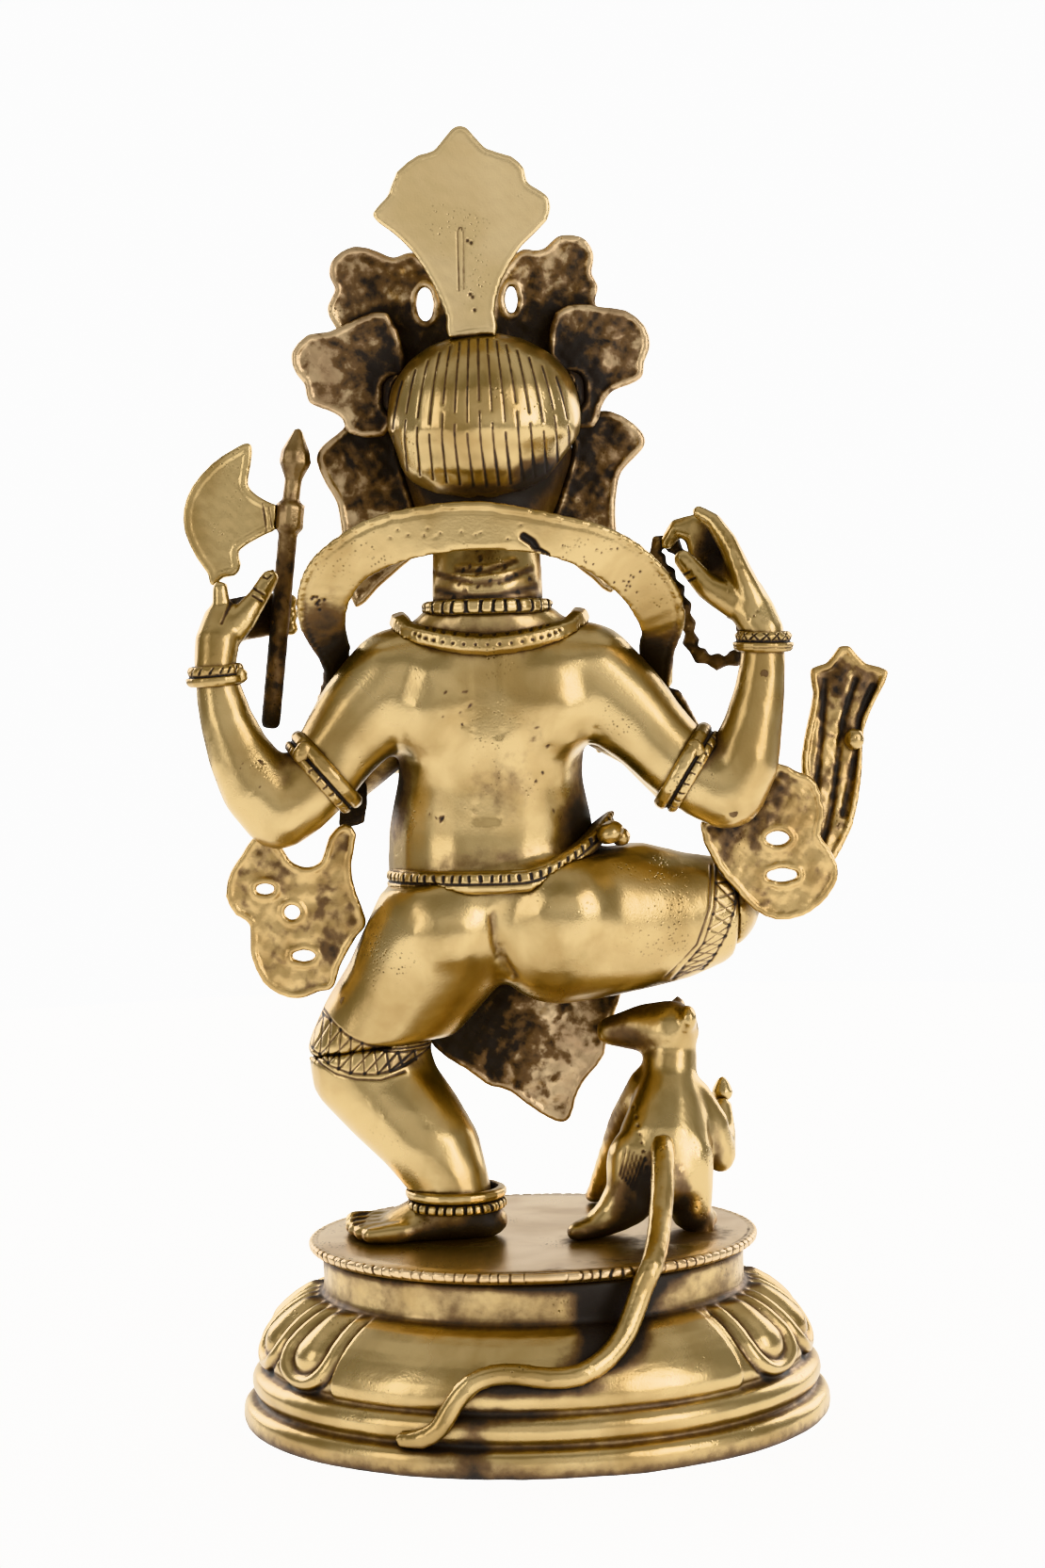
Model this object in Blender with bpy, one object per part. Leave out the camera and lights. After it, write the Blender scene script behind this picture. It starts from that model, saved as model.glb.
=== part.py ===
"""A cast brass dancing elephant-headed figure on a lotus pedestal, with a rat at its feet.

Metres, +Z up. The origin is under the middle of the pedestal, the figure faces -Y, and its left is +X.
Shapes are drawn in millimetres, with the figure's heights above the floor on the standard pedestal.
"""

from math import cos, hypot, pi, radians, sin, sqrt

import bmesh
import bpy
from mathutils import Matrix, Vector

MM = 0.001

# Overall sizes
FIGURE_HEIGHT = 0.2826  # deck to the tip of the plume
PEDESTAL_WIDTH = 0.1524
PEDESTAL_DEPTH = 0.1316
PEDESTAL_HEIGHT = 0.0474  # floor to the top of the deck
RAT_HEIGHT = 0.0640

# Walls, plates and bands
PEDESTAL_WALL = 0.0030
FOOT_WALL = 0.0042
BOTTOM_PLATE = 0.0016
DECK_THICKNESS = 0.0034
DECK_OVERHANG = 0.0036
CROWN_PLATE = 0.0030
SASH_PLATE = 0.0028
FLAP_PLATE = 0.0024
BLADE_PLATE = 0.0026
SCARF_THICKNESS = 0.0026
SHAFT_RADIUS = 0.0025
BEAD_RADIUS = 0.0023
BELT_HEIGHT = 0.0056
BELT_STAND = 0.0021
BRACELET_HEIGHT = 0.0050
BRACELET_STAND = 0.0019
ARMLET_HEIGHT = 0.0062
ARMLET_STAND = 0.0021
CROWN_BAND_HEIGHT = 0.0085
CROWN_BAND_STAND = 0.0026
NECK_BEAD_HEIGHT = 0.0036
NECK_BEAD_STAND = 0.0019
ANKLET_HEIGHT = 0.0026
ANKLET_STAND = 0.0021
TAIL_RADIUS = 0.0029

# Fits
CLEARANCE = 0.0003
PEG_RADIUS = 0.0030
WRIST_PEG_RADIUS = 0.0019
PEG_LENGTH = 0.0050
TENON_RADIUS = 0.0032
PLUG_RADIUS = 0.0011
PLUG_LENGTH = 0.0024

# The drawing's own standard sizes, which the sizes above scale
DRAWN_FIGURE = 0.2826
DRAWN_DECK = 47.4
DRAWN_PEDESTAL_RADIUS = 76.2
DRAWN_RAT = 0.0640
SEGMENTS = 36

BRASS = {"colour": (0.62, 0.46, 0.20), "roughness": 0.28}
DARK_BRASS = {"colour": (0.16, 0.11, 0.07), "roughness": 0.55}
ROUGH_BRASS = {"colour": (0.33, 0.25, 0.15), "roughness": 0.50}


# ---------------------------------------------------------------- general tools


def clear_scene():
    for old in list(bpy.data.objects):
        bpy.data.objects.remove(old, do_unlink=True)


def brass(kind, name):
    material = bpy.data.materials.new(name)
    material.use_nodes = True
    shader = material.node_tree.nodes["Principled BSDF"]
    shader.inputs["Base Color"].default_value = (*kind["colour"], 1)
    shader.inputs["Roughness"].default_value = kind["roughness"]
    shader.inputs["Metallic"].default_value = 1.0
    return material


def figure_point(x, y, z):
    """A point of the figure, in mm, as a place in metres above the deck."""
    scale = FIGURE_HEIGHT / DRAWN_FIGURE * MM
    return Vector((x * scale, y * scale, PEDESTAL_HEIGHT + (z - DRAWN_DECK) * scale))


def rat_point(x, y, z):
    """A point of the rat, which stands on the deck and keeps its place there."""
    scale = RAT_HEIGHT / DRAWN_RAT * MM
    middle_x, middle_y = -36.0, 0.0
    return Vector(
        (
            middle_x * MM + (x - middle_x) * scale,
            middle_y * MM + (y - middle_y) * scale,
            PEDESTAL_HEIGHT + (z - DRAWN_DECK) * scale,
        )
    )


def length_scale(place):
    """How much longer a drawn millimetre is, in metres, where place puts things."""
    return (place(0, 0, DRAWN_DECK + 1) - place(0, 0, DRAWN_DECK)).length


def new_object(name, mesh, kind=BRASS):
    obj = bpy.data.objects.new(name, mesh)
    bpy.context.scene.collection.objects.link(obj)
    mesh.materials.clear()
    mesh.materials.append(brass(kind, name + "_brass"))
    return obj


def object_from(name, bm, kind=BRASS):
    bmesh.ops.recalc_face_normals(bm, faces=bm.faces)
    mesh = bpy.data.meshes.new(name)
    bm.to_mesh(mesh)
    bm.free()
    return new_object(name, mesh, kind)


def bake(obj):
    """Turns the object's modifiers into its mesh."""
    bpy.context.view_layer.update()
    graph = bpy.context.evaluated_depsgraph_get()
    mesh = bpy.data.meshes.new_from_object(obj.evaluated_get(graph))
    obj.modifiers.clear()
    obj.data = mesh
    return obj


def combine(obj, other, operation, solver="MANIFOLD"):
    """Cuts other from obj, or adds it, and removes other.

    A modelled skin can cross itself a little in a crease, which the EXACT solver can't cut.
    """
    modifier = obj.modifiers.new(operation, "BOOLEAN")
    modifier.operation = operation
    modifier.solver = solver
    modifier.object = other
    bake(obj)
    bpy.data.objects.remove(other, do_unlink=True)
    return obj


def inflated(obj, amount=CLEARANCE):
    """A copy that stands proud of the object by the clearance."""
    bm = bmesh.new()
    bm.from_mesh(obj.data)
    bmesh.ops.triangulate(bm, faces=bm.faces)
    bm.normal_update()
    moved = [(vert, vert.co + vert.normal * amount * 1.25) for vert in bm.verts]
    for vert, place in moved:
        vert.co = place
    core = new_object("core", obj.data.copy())
    return combine(object_from("seat", bm), core, "UNION")


def seat(piece, *neighbours):
    """Shapes a piece to its neighbours, with the clearance between them."""
    for neighbour in neighbours:
        combine(piece, inflated(neighbour), "DIFFERENCE")
    return keep_largest(piece)


def keep_largest(obj):
    """Drops the crumbs that a cut can leave."""
    bm = bmesh.new()
    bm.from_mesh(obj.data)
    bm.faces.ensure_lookup_table()
    unseen = set(bm.faces)
    groups = []
    while unseen:
        stack = [unseen.pop()]
        group = set(stack)
        while stack:
            for edge in stack.pop().edges:
                for face in edge.link_faces:
                    if face in unseen:
                        unseen.remove(face)
                        group.add(face)
                        stack.append(face)
        groups.append(group)
    largest = max(groups, key=lambda group: sum(face.calc_area() for face in group))
    crumbs = [face for group in groups if group is not largest for face in group]
    bmesh.ops.delete(bm, geom=crumbs, context="FACES")
    bm.to_mesh(obj.data)
    bm.free()
    return obj


def along(axis):
    """The turn that takes +Z to an axis."""
    return Vector((0, 0, 1)).rotation_difference(Vector(axis).normalized()).to_matrix().to_4x4()


def rod(start, end, radius, sides=10, name="rod"):
    """A plain cylinder between two places."""
    bm = bmesh.new()
    axis = end - start
    matrix = Matrix.Translation((start + end) / 2) @ along(axis)
    bmesh.ops.create_cone(
        bm, cap_ends=True, segments=sides, radius1=radius, radius2=radius,
        depth=axis.length, matrix=matrix,
    )
    return object_from(name, bm)


def trim(obj, centre, axis, radius, reach):
    """Cuts away what lies beyond a joint, and half a clearance more. radius and reach are drawn mm."""
    scale = length_scale(figure_point)
    axis = Vector(axis).normalized()
    start = centre - axis * CLEARANCE / 2
    return combine(obj, rod(start, start + axis * reach * scale, radius * scale, 16), "DIFFERENCE")


def dowel(male, female, centre, axis, radius=PEG_RADIUS, depth=PEG_LENGTH):
    """A peg on one piece that sits in a hole of the other, across their joint."""
    axis = Vector(axis).normalized()
    combine(male, rod(centre - axis * depth, centre + axis * depth, radius), "UNION")
    hole = rod(
        centre - axis * CLEARANCE, centre + axis * (depth + CLEARANCE), radius + CLEARANCE
    )
    combine(female, hole, "DIFFERENCE")


def ball_points(ball, place):
    """Points on one ball: a middle and one radius, or a middle and three."""
    radii = ball[3:] if len(ball) == 6 else (ball[3],) * 3
    scale = length_scale(place)
    bm = bmesh.new()
    bmesh.ops.create_icosphere(bm, subdivisions=3, radius=1)
    middle = place(*ball[:3])
    points = [
        middle + Vector((v.co.x * radii[0], v.co.y * radii[1], v.co.z * radii[2])) * scale
        for v in bm.verts
    ]
    bm.free()
    return points


def add_hull(bm, balls, place):
    """Adds the tight skin around a few balls."""
    skin = bmesh.new()
    for ball in balls:
        for point in ball_points(ball, place):
            skin.verts.new(point)
    result = bmesh.ops.convex_hull(skin, input=skin.verts)
    inner = [item for item in result["geom_interior"] if isinstance(item, bmesh.types.BMVert)]
    bmesh.ops.delete(skin, geom=inner, context="VERTS")
    bmesh.ops.recalc_face_normals(skin, faces=skin.faces)
    mesh = bpy.data.meshes.new("skin")
    skin.to_mesh(mesh)
    skin.free()
    bm.from_mesh(mesh)
    bpy.data.meshes.remove(mesh)


def lighten(obj, triangles):
    """Gives the object's skin about that many triangles."""
    faces = sum(len(face.vertices) - 2 for face in obj.data.polygons)
    fewer = obj.modifiers.new("fewer", "DECIMATE")
    fewer.ratio = min(1.0, triangles / faces)
    return bake(obj)


def modelled(name, chains, triangles, grain, kind=BRASS, place=figure_point, soften=6):
    """A flesh form: each chain of balls is a limb, and all of them are blended into one skin."""
    bm = bmesh.new()
    for chain in chains:
        pairs = zip(chain, chain[1:]) if len(chain) > 1 else [chain]
        for pair in pairs:
            add_hull(bm, pair, place)
    mesh = bpy.data.meshes.new(name)
    bm.to_mesh(mesh)
    bm.free()
    obj = new_object(name, mesh, kind)
    skin = obj.modifiers.new("skin", "REMESH")
    skin.mode = "VOXEL"
    skin.voxel_size = grain * MM
    soft = obj.modifiers.new("soft", "SMOOTH")
    soft.factor = 0.5
    soft.iterations = soften
    bake(obj)
    return keep_largest(lighten(obj, triangles))


def smooth_path(points, steps):
    """Points on a smooth curve through the given ones."""
    points = [Vector(p) for p in points]
    ends = [2 * points[0] - points[1], *points, 2 * points[-1] - points[-2]]
    path = []
    for before, start, end, after in zip(ends, ends[1:], ends[2:], ends[3:]):
        for step in range(steps):
            t = step / steps
            path.append(
                0.5 * (2 * start + (end - before) * t
                       + (2 * before - 5 * start + 4 * end - after) * t ** 2
                       + (3 * start - before - 3 * end + after) * t ** 3)
            )
    path.append(points[-1])
    return path


def smooth_loop(points, steps):
    """The same for a closed curve."""
    points = [Vector(p) for p in points]
    return smooth_path([points[-1], *points, points[0], points[1]], steps)[steps : -steps - 1]


def bridge(bm, rings, closed_path=False):
    """Skins a row of rings, with flat ends where the row is open."""
    pairs = list(zip(rings, rings[1:]))
    if closed_path:
        pairs.append((rings[-1], rings[0]))
    for first, second in pairs:
        for i in range(len(first)):
            j = (i + 1) % len(first)
            bm.faces.new((first[i], first[j], second[j], second[i]))
    if not closed_path:
        bm.faces.new(list(reversed(rings[0])))
        bm.faces.new(rings[-1])


def tube(name, path, radii, sides=8, closed_path=False, kind=BRASS):
    """A round bar along a path, with its own radius at each point."""
    bm = bmesh.new()
    rings = []
    count = len(path)
    side = None
    for i, (point, radius) in enumerate(zip(path, radii)):
        if closed_path:
            tangent = (path[(i + 1) % count] - path[i - 1]).normalized()
        else:
            tangent = (path[min(i + 1, count - 1)] - path[max(i - 1, 0)]).normalized()
        if side is None:
            side = tangent.orthogonal().normalized()
        side = (side - tangent * side.dot(tangent)).normalized()
        up = tangent.cross(side)
        rings.append(
            [
                bm.verts.new(point + (side * cos(a) + up * sin(a)) * radius)
                for a in (2 * pi * k / sides for k in range(sides))
            ]
        )
    bridge(bm, rings, closed_path)
    return object_from(name, bm, kind)


def ribbon(name, edges, thickness, steps, kind=BRASS, place=figure_point):
    """A flat band between two edges, each station giving a point of one edge and of the other."""
    first = smooth_path([place(*edge[0]) for edge in edges], steps)
    second = smooth_path([place(*edge[1]) for edge in edges], steps)
    bm = bmesh.new()
    rings = []
    for i, (a, b) in enumerate(zip(first, second)):
        ahead, behind = min(i + 1, len(first) - 1), max(i - 1, 0)
        tangent = (first[ahead] + second[ahead] - first[behind] - second[behind]).normalized()
        out = tangent.cross(b - a).normalized() * thickness / 2
        rings.append([bm.verts.new(p) for p in (a - out, b - out, b + out, a + out)])
    bridge(bm, rings)
    return object_from(name, bm, kind)


def plate(name, outline, y, thickness, holes=(), kind=BRASS, steps=2, lean=0.0, place=figure_point):
    """A flat casting with a smooth outline. Each hole is x, z, half width and half height."""
    curve = bpy.data.curves.new(name, "CURVE")
    curve.dimensions = "2D"
    curve.fill_mode = "BOTH"
    curve.extrude = thickness / 2
    points = [Vector((x, 0, z)) for x, z in outline]
    path = smooth_loop(points, steps)
    loops = [[(p.x, p.z) for p in path]]
    for x, z, half_x, half_z in holes:
        loops.append(
            [(x + half_x * cos(a), z + half_z * sin(a)) for a in (pi * k / 4 for k in range(8))]
        )
    for loop in loops:
        spline = curve.splines.new("POLY")
        spline.points.add(len(loop) - 1)
        spline.use_cyclic_u = True
        for point, (x, z) in zip(spline.points, loop):
            at = place(x, 0, z)
            point.co = (at.x, at.z, 0, 1)
    maker = bpy.data.objects.new(name, curve)
    bpy.context.scene.collection.objects.link(maker)
    bpy.context.view_layer.update()
    graph = bpy.context.evaluated_depsgraph_get()
    mesh = bpy.data.meshes.new_from_object(maker.evaluated_get(graph))
    bpy.data.objects.remove(maker, do_unlink=True)
    middle = sum(x for x, _ in outline) / len(outline)
    low = min(z for _, z in outline)
    base = place(middle, y, low)
    for vert in mesh.vertices:
        across, up, deep = vert.co
        vert.co = (across, base.y - deep + lean * (up - base.z), up)
    bm = bmesh.new()
    bm.from_mesh(mesh)
    bmesh.ops.remove_doubles(bm, verts=bm.verts, dist=1e-6)
    bpy.data.meshes.remove(mesh)
    return object_from(name, bm, kind)


def belt_lift(point):
    """The belt hangs level round the left hip and climbs over the raised right one."""
    scale = length_scale(figure_point)
    return 0.022 * scale * max(0.0, 2 - point.x / scale) ** 2


def band(name, centre, axis, bore, stand, height, limbs, lips=1, sides=20, sunk=0.0, lift=None):
    """A ring ornament around limbs, in metres.

    bore is its inside half width and half depth, and stand is its thickness. A sunk one starts that much
    further in, and is then fitted to the limbs all round.
    """
    axis = Vector(axis).normalized()
    deep = Vector((0, 1, 0))
    deep = (deep - axis * deep.dot(axis)).normalized()
    across = deep.cross(axis)
    section = [(-0.5, 0.5), (-0.3, 1.0), (0.3, 1.0), (0.5, 0.5), (0.5, 0.0), (-0.5, 0.0)]
    if lips == 2:
        section = [(-0.5, 0.6), (-0.32, 1.0), (-0.05, 1.0), (0.06, 0.55), (0.3, 0.8), (0.5, 0.4),
                   (0.5, 0.0), (-0.5, 0.0)]
    bm = bmesh.new()
    rings = []
    for up, out in section:
        inward = sunk if out == 0.0 else 0.0
        wide, far = bore[0] + stand * out - inward, bore[1] + stand * out - inward
        rings.append(
            [
                bm.verts.new(centre + across * wide * cos(a) + deep * far * sin(a) + axis * up * height)
                for a in (2 * pi * k / sides for k in range(sides))
            ]
        )
    if lift:
        for vert in bm.verts:
            vert.co.z += lift(vert.co)
    bridge(bm, rings, closed_path=True)
    return seat(object_from(name, bm), *limbs)


# ---------------------------------------------------------------- pedestal


def pedestal_profile():
    """Radius and height of the outside, bottom to top, in mm on the standard pedestal."""
    foot = [(75.5, 0), (76.2, 1.2), (76.2, 5.0), (74.8, 6.8)]
    moulding = [(72.2, 7.8), (73.8, 9.8), (74.0, 12.0), (72.8, 14.2), (70.6, 15.4)]
    lotus = [(71.8, 17.0), (71.7, 19.4), (70.0, 23.2), (67.0, 27.2), (62.6, 30.7), (57.6, 33.3)]
    drum = [(54.6, 34.4), (54.6, 43.7)]
    return foot + moulding + lotus + drum


def pedestal_radius(height):
    """Half the pedestal's width at a height, both in metres."""
    rise = PEDESTAL_HEIGHT / MM / DRAWN_DECK
    profile = [(r, z * rise) for r, z in pedestal_profile()]
    wanted = height / MM
    for (r0, z0), (r1, z1) in zip(profile, profile[1:]):
        if z0 <= wanted <= z1:
            share = (wanted - z0) / (z1 - z0)
            return (r0 + (r1 - r0) * share) / DRAWN_PEDESTAL_RADIUS * PEDESTAL_WIDTH / 2
    return profile[-1][0] / DRAWN_PEDESTAL_RADIUS * PEDESTAL_WIDTH / 2


def oval_ring(bm, radius, height):
    """A ring of points as wide as radius says and as deep as the pedestal's own shape."""
    flat = PEDESTAL_DEPTH / PEDESTAL_WIDTH
    return [
        bm.verts.new((radius * cos(a), radius * flat * sin(a), height))
        for a in (2 * pi * k / SEGMENTS for k in range(SEGMENTS))
    ]


def turned(name, profile, kind=BRASS):
    """An oval turned shape with flat ends."""
    bm = bmesh.new()
    bridge(bm, [oval_ring(bm, radius, height) for radius, height in profile])
    return object_from(name, bm, kind)


def make_pedestal():
    wide = PEDESTAL_WIDTH / 2 / DRAWN_PEDESTAL_RADIUS
    rise = PEDESTAL_HEIGHT / DRAWN_DECK
    top = PEDESTAL_HEIGHT - DECK_THICKNESS - CLEARANCE
    outside = [(r * wide, z * rise) for r, z in pedestal_profile()]
    outside[-1] = (outside[-1][0], top)
    base = turned("lotus_base", outside)
    drum = outside[-1][0]
    mouth = outside[0][0] - FOOT_WALL
    inside = [
        (mouth, -CLEARANCE),
        (mouth, BOTTOM_PLATE + CLEARANCE),
        (outside[12][0] - PEDESTAL_WALL, outside[12][1] - PEDESTAL_WALL),
        (drum - PEDESTAL_WALL, outside[14][1] - PEDESTAL_WALL),
        (drum - PEDESTAL_WALL, top - PEDESTAL_WALL),
    ]
    combine(base, turned("hollow", inside), "DIFFERENCE", "EXACT")
    turned("bottom_plate", [(mouth - CLEARANCE, 0), (mouth - CLEARANCE, BOTTOM_PLATE)], DARK_BRASS)
    rim = drum + DECK_OVERHANG
    deck = turned(
        "deck_plate",
        [
            (drum, top + CLEARANCE),
            (rim, top + CLEARANCE + 0.3 * DECK_THICKNESS),
            (rim - 0.0005, PEDESTAL_HEIGHT),
        ],
    )
    return base, deck


def tenon(piece, through, x, y, reach):
    """A round tenon below a piece, with a hole for it in what it goes through."""
    top = Vector((x, y, PEDESTAL_HEIGHT + 0.003))
    bottom = Vector((x, y, PEDESTAL_HEIGHT - reach))
    combine(piece, rod(top, bottom, TENON_RADIUS, 12), "UNION")
    for plate_below in through:
        hole = rod(top - Vector((0, 0, 0.0029)), bottom - Vector((0, 0, 0.002)),
                   TENON_RADIUS + CLEARANCE, 12)
        combine(plate_below, hole, "DIFFERENCE")


# ---------------------------------------------------------------- body

WAIST = (6.5, -6.0, 141.8)
WAIST_AXIS = (-0.15, 0.03, -1)
NECK = (7.4, 3.0, 209.6)
LEFT_ARM_JOINT, LEFT_ARM_AXIS = (50.6, 4.0, 168.6), (0.76, 0.08, -0.64)
RIGHT_ARM_JOINT, RIGHT_ARM_AXIS = (-42.6, 4.4, 167.3), (-0.84, 0.08, -0.52)
LEFT_WRIST, LEFT_WRIST_AXIS = (76.9, 7.0, 194.4), (0.06, 0, 1)
RIGHT_WRIST, RIGHT_WRIST_AXIS = (-62.5, 7.0, 199.4), (-0.03, 0, 1)
LEFT_KNEE, LEFT_KNEE_AXIS = (40.8, -9.0, 95.5), (-0.14, 0.1, -1)
RIGHT_KNEE, RIGHT_KNEE_AXIS = (-53.0, -13.0, 131.0), (-0.95, -0.3, 0.02)
LEFT_ANKLE, LEFT_ANKLE_AXIS = (19.6, 3.0, 57.6), (0, 0, -1)
RIGHT_ANKLE, RIGHT_ANKLE_AXIS = (-19.0, -39.5, 114.0), (0.87, -0.27, -0.41)


def make_torso():
    spine = [
        (9, -12, 136, 26, 25, 12), (8.2, -13, 152, 26.4, 25, 14), (8, -8, 165, 23.6, 21, 10),
        (7, -2, 178, 23.5, 18, 12), (6.5, 0, 190, 27, 16.5, 12), (7, 2, 200.5, 22, 12.5, 8),
        (7.5, 2.5, 211, 14.3, 12.5, 7), (7.2, 1, 220, 14.2, 12.5, 6),
    ]
    left_arm = [
        (20, 1, 194, 14, 13, 13), (31, 1, 191.2, 13.6, 12.8, 13.6), (40.3, 2, 182.4, 12, 11.4, 12),
        (46, 3, 175.5, 10.2, 10, 10.2), (50.4, 4, 169, 9.7, 9.6, 9.7), (57, 5, 162.6, 9.8, 9.4, 9.8),
    ]
    right_arm = [
        (-6, 1, 194, 14, 13, 13), (-17.5, 1, 191.4, 13.6, 12.8, 13.6), (-27, 2, 183.2, 11.8, 11.4, 11.8),
        (-33.5, 3, 176.3, 10.1, 10, 10.1), (-39.6, 4, 169.6, 9.7, 9.6, 9.7),
        (-48, 5, 163.6, 9.7, 9.4, 9.7),
    ]
    blades = [[(19, 5.6, 187, 15, 11.4, 17)], [(-6, 5.6, 187, 15, 11.4, 17)]]
    chest = [[(17, -13, 188, 10, 7, 9)], [(-4, -13, 188, 10, 7, 9)]]
    torso = modelled("torso", [spine, left_arm, right_arm, *blades, *chest], 950, 1.5)
    trim(torso, figure_point(*LEFT_ARM_JOINT), LEFT_ARM_AXIS, 14.5, 22)
    trim(torso, figure_point(*RIGHT_ARM_JOINT), RIGHT_ARM_AXIS, 14.5, 22)
    trim(torso, figure_point(*WAIST), WAIST_AXIS, 60, 40)
    trim(torso, figure_point(*NECK), (0, 0, 1), 30, 30)
    return torso


def make_hips():
    pelvis = [
        (8.6, -12, 155, 24.6, 24, 12), (8.4, -9, 146, 25.6, 23.5, 10), (9, -6, 137, 26, 22, 10),
        (9, -5, 131, 25, 20, 12),
    ]
    left_thigh = [
        (19, 0, 129.5, 19.5, 19, 17), (23.5, -3, 121, 19.5, 18.5, 16), (30, -6, 111, 17.6, 16.5, 15),
        (37.2, -8, 102.5, 16.4, 15.4, 13), (41.7, -9, 95, 15.8, 14.8, 10), (40.9, -8.5, 88, 16.2, 14.6, 8),
    ]
    right_thigh = [
        (-8, 0, 129.1, 19, 19, 22.1), (-17, -3, 129, 18, 18, 21.4), (-29, -6.5, 128.3, 15, 16, 19.1),
        (-40, -10, 127.7, 12, 14, 16.5), (-49.4, -12.5, 128.6, 10, 11.5, 14),
        (-55, -14, 131.2, 8, 9.6, 10),
    ]
    seats = [[(19.5, 4.5, 128, 15.5, 15.5, 14)], [(-10, 5, 131, 16, 15.5, 16.5)]]
    hips = modelled("hips", [pelvis, left_thigh, right_thigh, *seats], 1000, 1.5)
    trim(hips, figure_point(*WAIST), [-v for v in WAIST_AXIS], 60, 40)
    trim(hips, figure_point(*LEFT_KNEE), LEFT_KNEE_AXIS, 21, 20)
    trim(hips, figure_point(*RIGHT_KNEE), RIGHT_KNEE_AXIS, 19, 22)
    return hips


def make_left_leg():
    shin = modelled(
        "left_shin",
        [[(38.6, -8, 104, 15.8, 15, 9), (41.7, -9, 95, 15.8, 14.8, 10), (40.1, -8.4, 87, 16.4, 14.8, 10),
          (33, -4.5, 79, 15.2, 14.4, 10), (26.6, -0.6, 71.5, 13.4, 12.8, 9), (21.9, 2, 63, 10.7, 10.6, 8),
          (19.8, 3, 56, 9.9, 9.6, 6)]],
        360, 1.3,
    )
    trim(shin, figure_point(*LEFT_KNEE), [-v for v in LEFT_KNEE_AXIS], 21, 24)
    trim(shin, figure_point(*LEFT_ANKLE), LEFT_ANKLE_AXIS, 16, 12)
    toes = [
        [(34, y, 50.2, 4, 2.5, 2.6), (x, y * 1.12 - 0.4, 49.8, r, r, r)]
        for x, y, r in ((46.5, -5.5, 2.7), (46.6, -0.8, 2.3), (45.6, 3.4, 2.2), (44, 7.3, 2.1),
                        (41.8, 10.8, 2.0))
    ]
    foot = modelled(
        "left_foot",
        [[(19.6, 3, 64, 9.9, 9.6, 5), (19.5, 3, 56, 10.2, 9.6, 6), (20, 3, 52, 11.5, 9.6, 5)],
         [(12.6, 3, 51.4, 6.2, 7.6, 4.2), (24, 3, 51.6, 7, 9, 5), (34.5, 2.6, 50.4, 5, 9.8, 3.4)],
         [(20, 3, 56, 9, 8, 5), (33, 2, 51.6, 5, 7.6, 3.6)], *toes],
        420, 0.9, soften=3,
    )
    trim(foot, figure_point(*LEFT_ANKLE), [-v for v in LEFT_ANKLE_AXIS], 16, 20)
    deck = Vector((figure_point(20, 0, 0).x, 0, PEDESTAL_HEIGHT + CLEARANCE))
    combine(foot, rod(deck, deck - Vector((0, 0, 0.012)), 0.060, 16), "DIFFERENCE")
    return shin, foot


def make_right_leg():
    shin = modelled(
        "right_shin",
        [[(-44, -11.5, 128.6, 11.5, 13, 14), (-51.6, -13.5, 129.8, 9.6, 11, 11.6),
          (-53, -17, 129.6, 9, 10, 10),
          (-48, -24, 127, 9.6, 9.4, 9.4), (-38, -31, 122, 8.8, 8.6, 8.8),
          (-28, -36.6, 118, 7.4, 7.4, 7.4),
          (-19, -39.5, 114, 6.3, 6.3, 6.3), (-12, -41.6, 110.6, 6.2, 6.2, 6.2)]],
        320, 1.2,
    )
    trim(shin, figure_point(*RIGHT_KNEE), [-v for v in RIGHT_KNEE_AXIS], 19, 22)
    trim(shin, figure_point(*RIGHT_ANKLE), RIGHT_ANKLE_AXIS, 13, 20)
    toes = [
        [(-2 + 0.5 * k, -47 + 2.3 * k, 102, 2.4, 2.2, 2.4),
         (5.5 - abs(k - 0.6), -52 + 3.1 * k, 99, 2.1, 2.1, 2.1)]
        for k in range(5)
    ]
    foot = modelled(
        "right_foot",
        [[(-26, -37.4, 117.4, 7, 7, 7), (-19, -39.5, 114, 6.3, 6.3, 6.3),
          (-14, -41, 110.6, 6.5, 6.6, 6.5)],
         [(-17, -39.4, 108.8, 5.4, 5.6, 5), (-8, -42, 106.4, 5.5, 6.6, 4.8),
          (-1.5, -43.5, 102.8, 4.4, 7.4, 3.4)], *toes],
        340, 0.9, soften=3,
    )
    trim(foot, figure_point(*RIGHT_ANKLE), [-v for v in RIGHT_ANKLE_AXIS], 13, 20)
    return shin, foot


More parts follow.
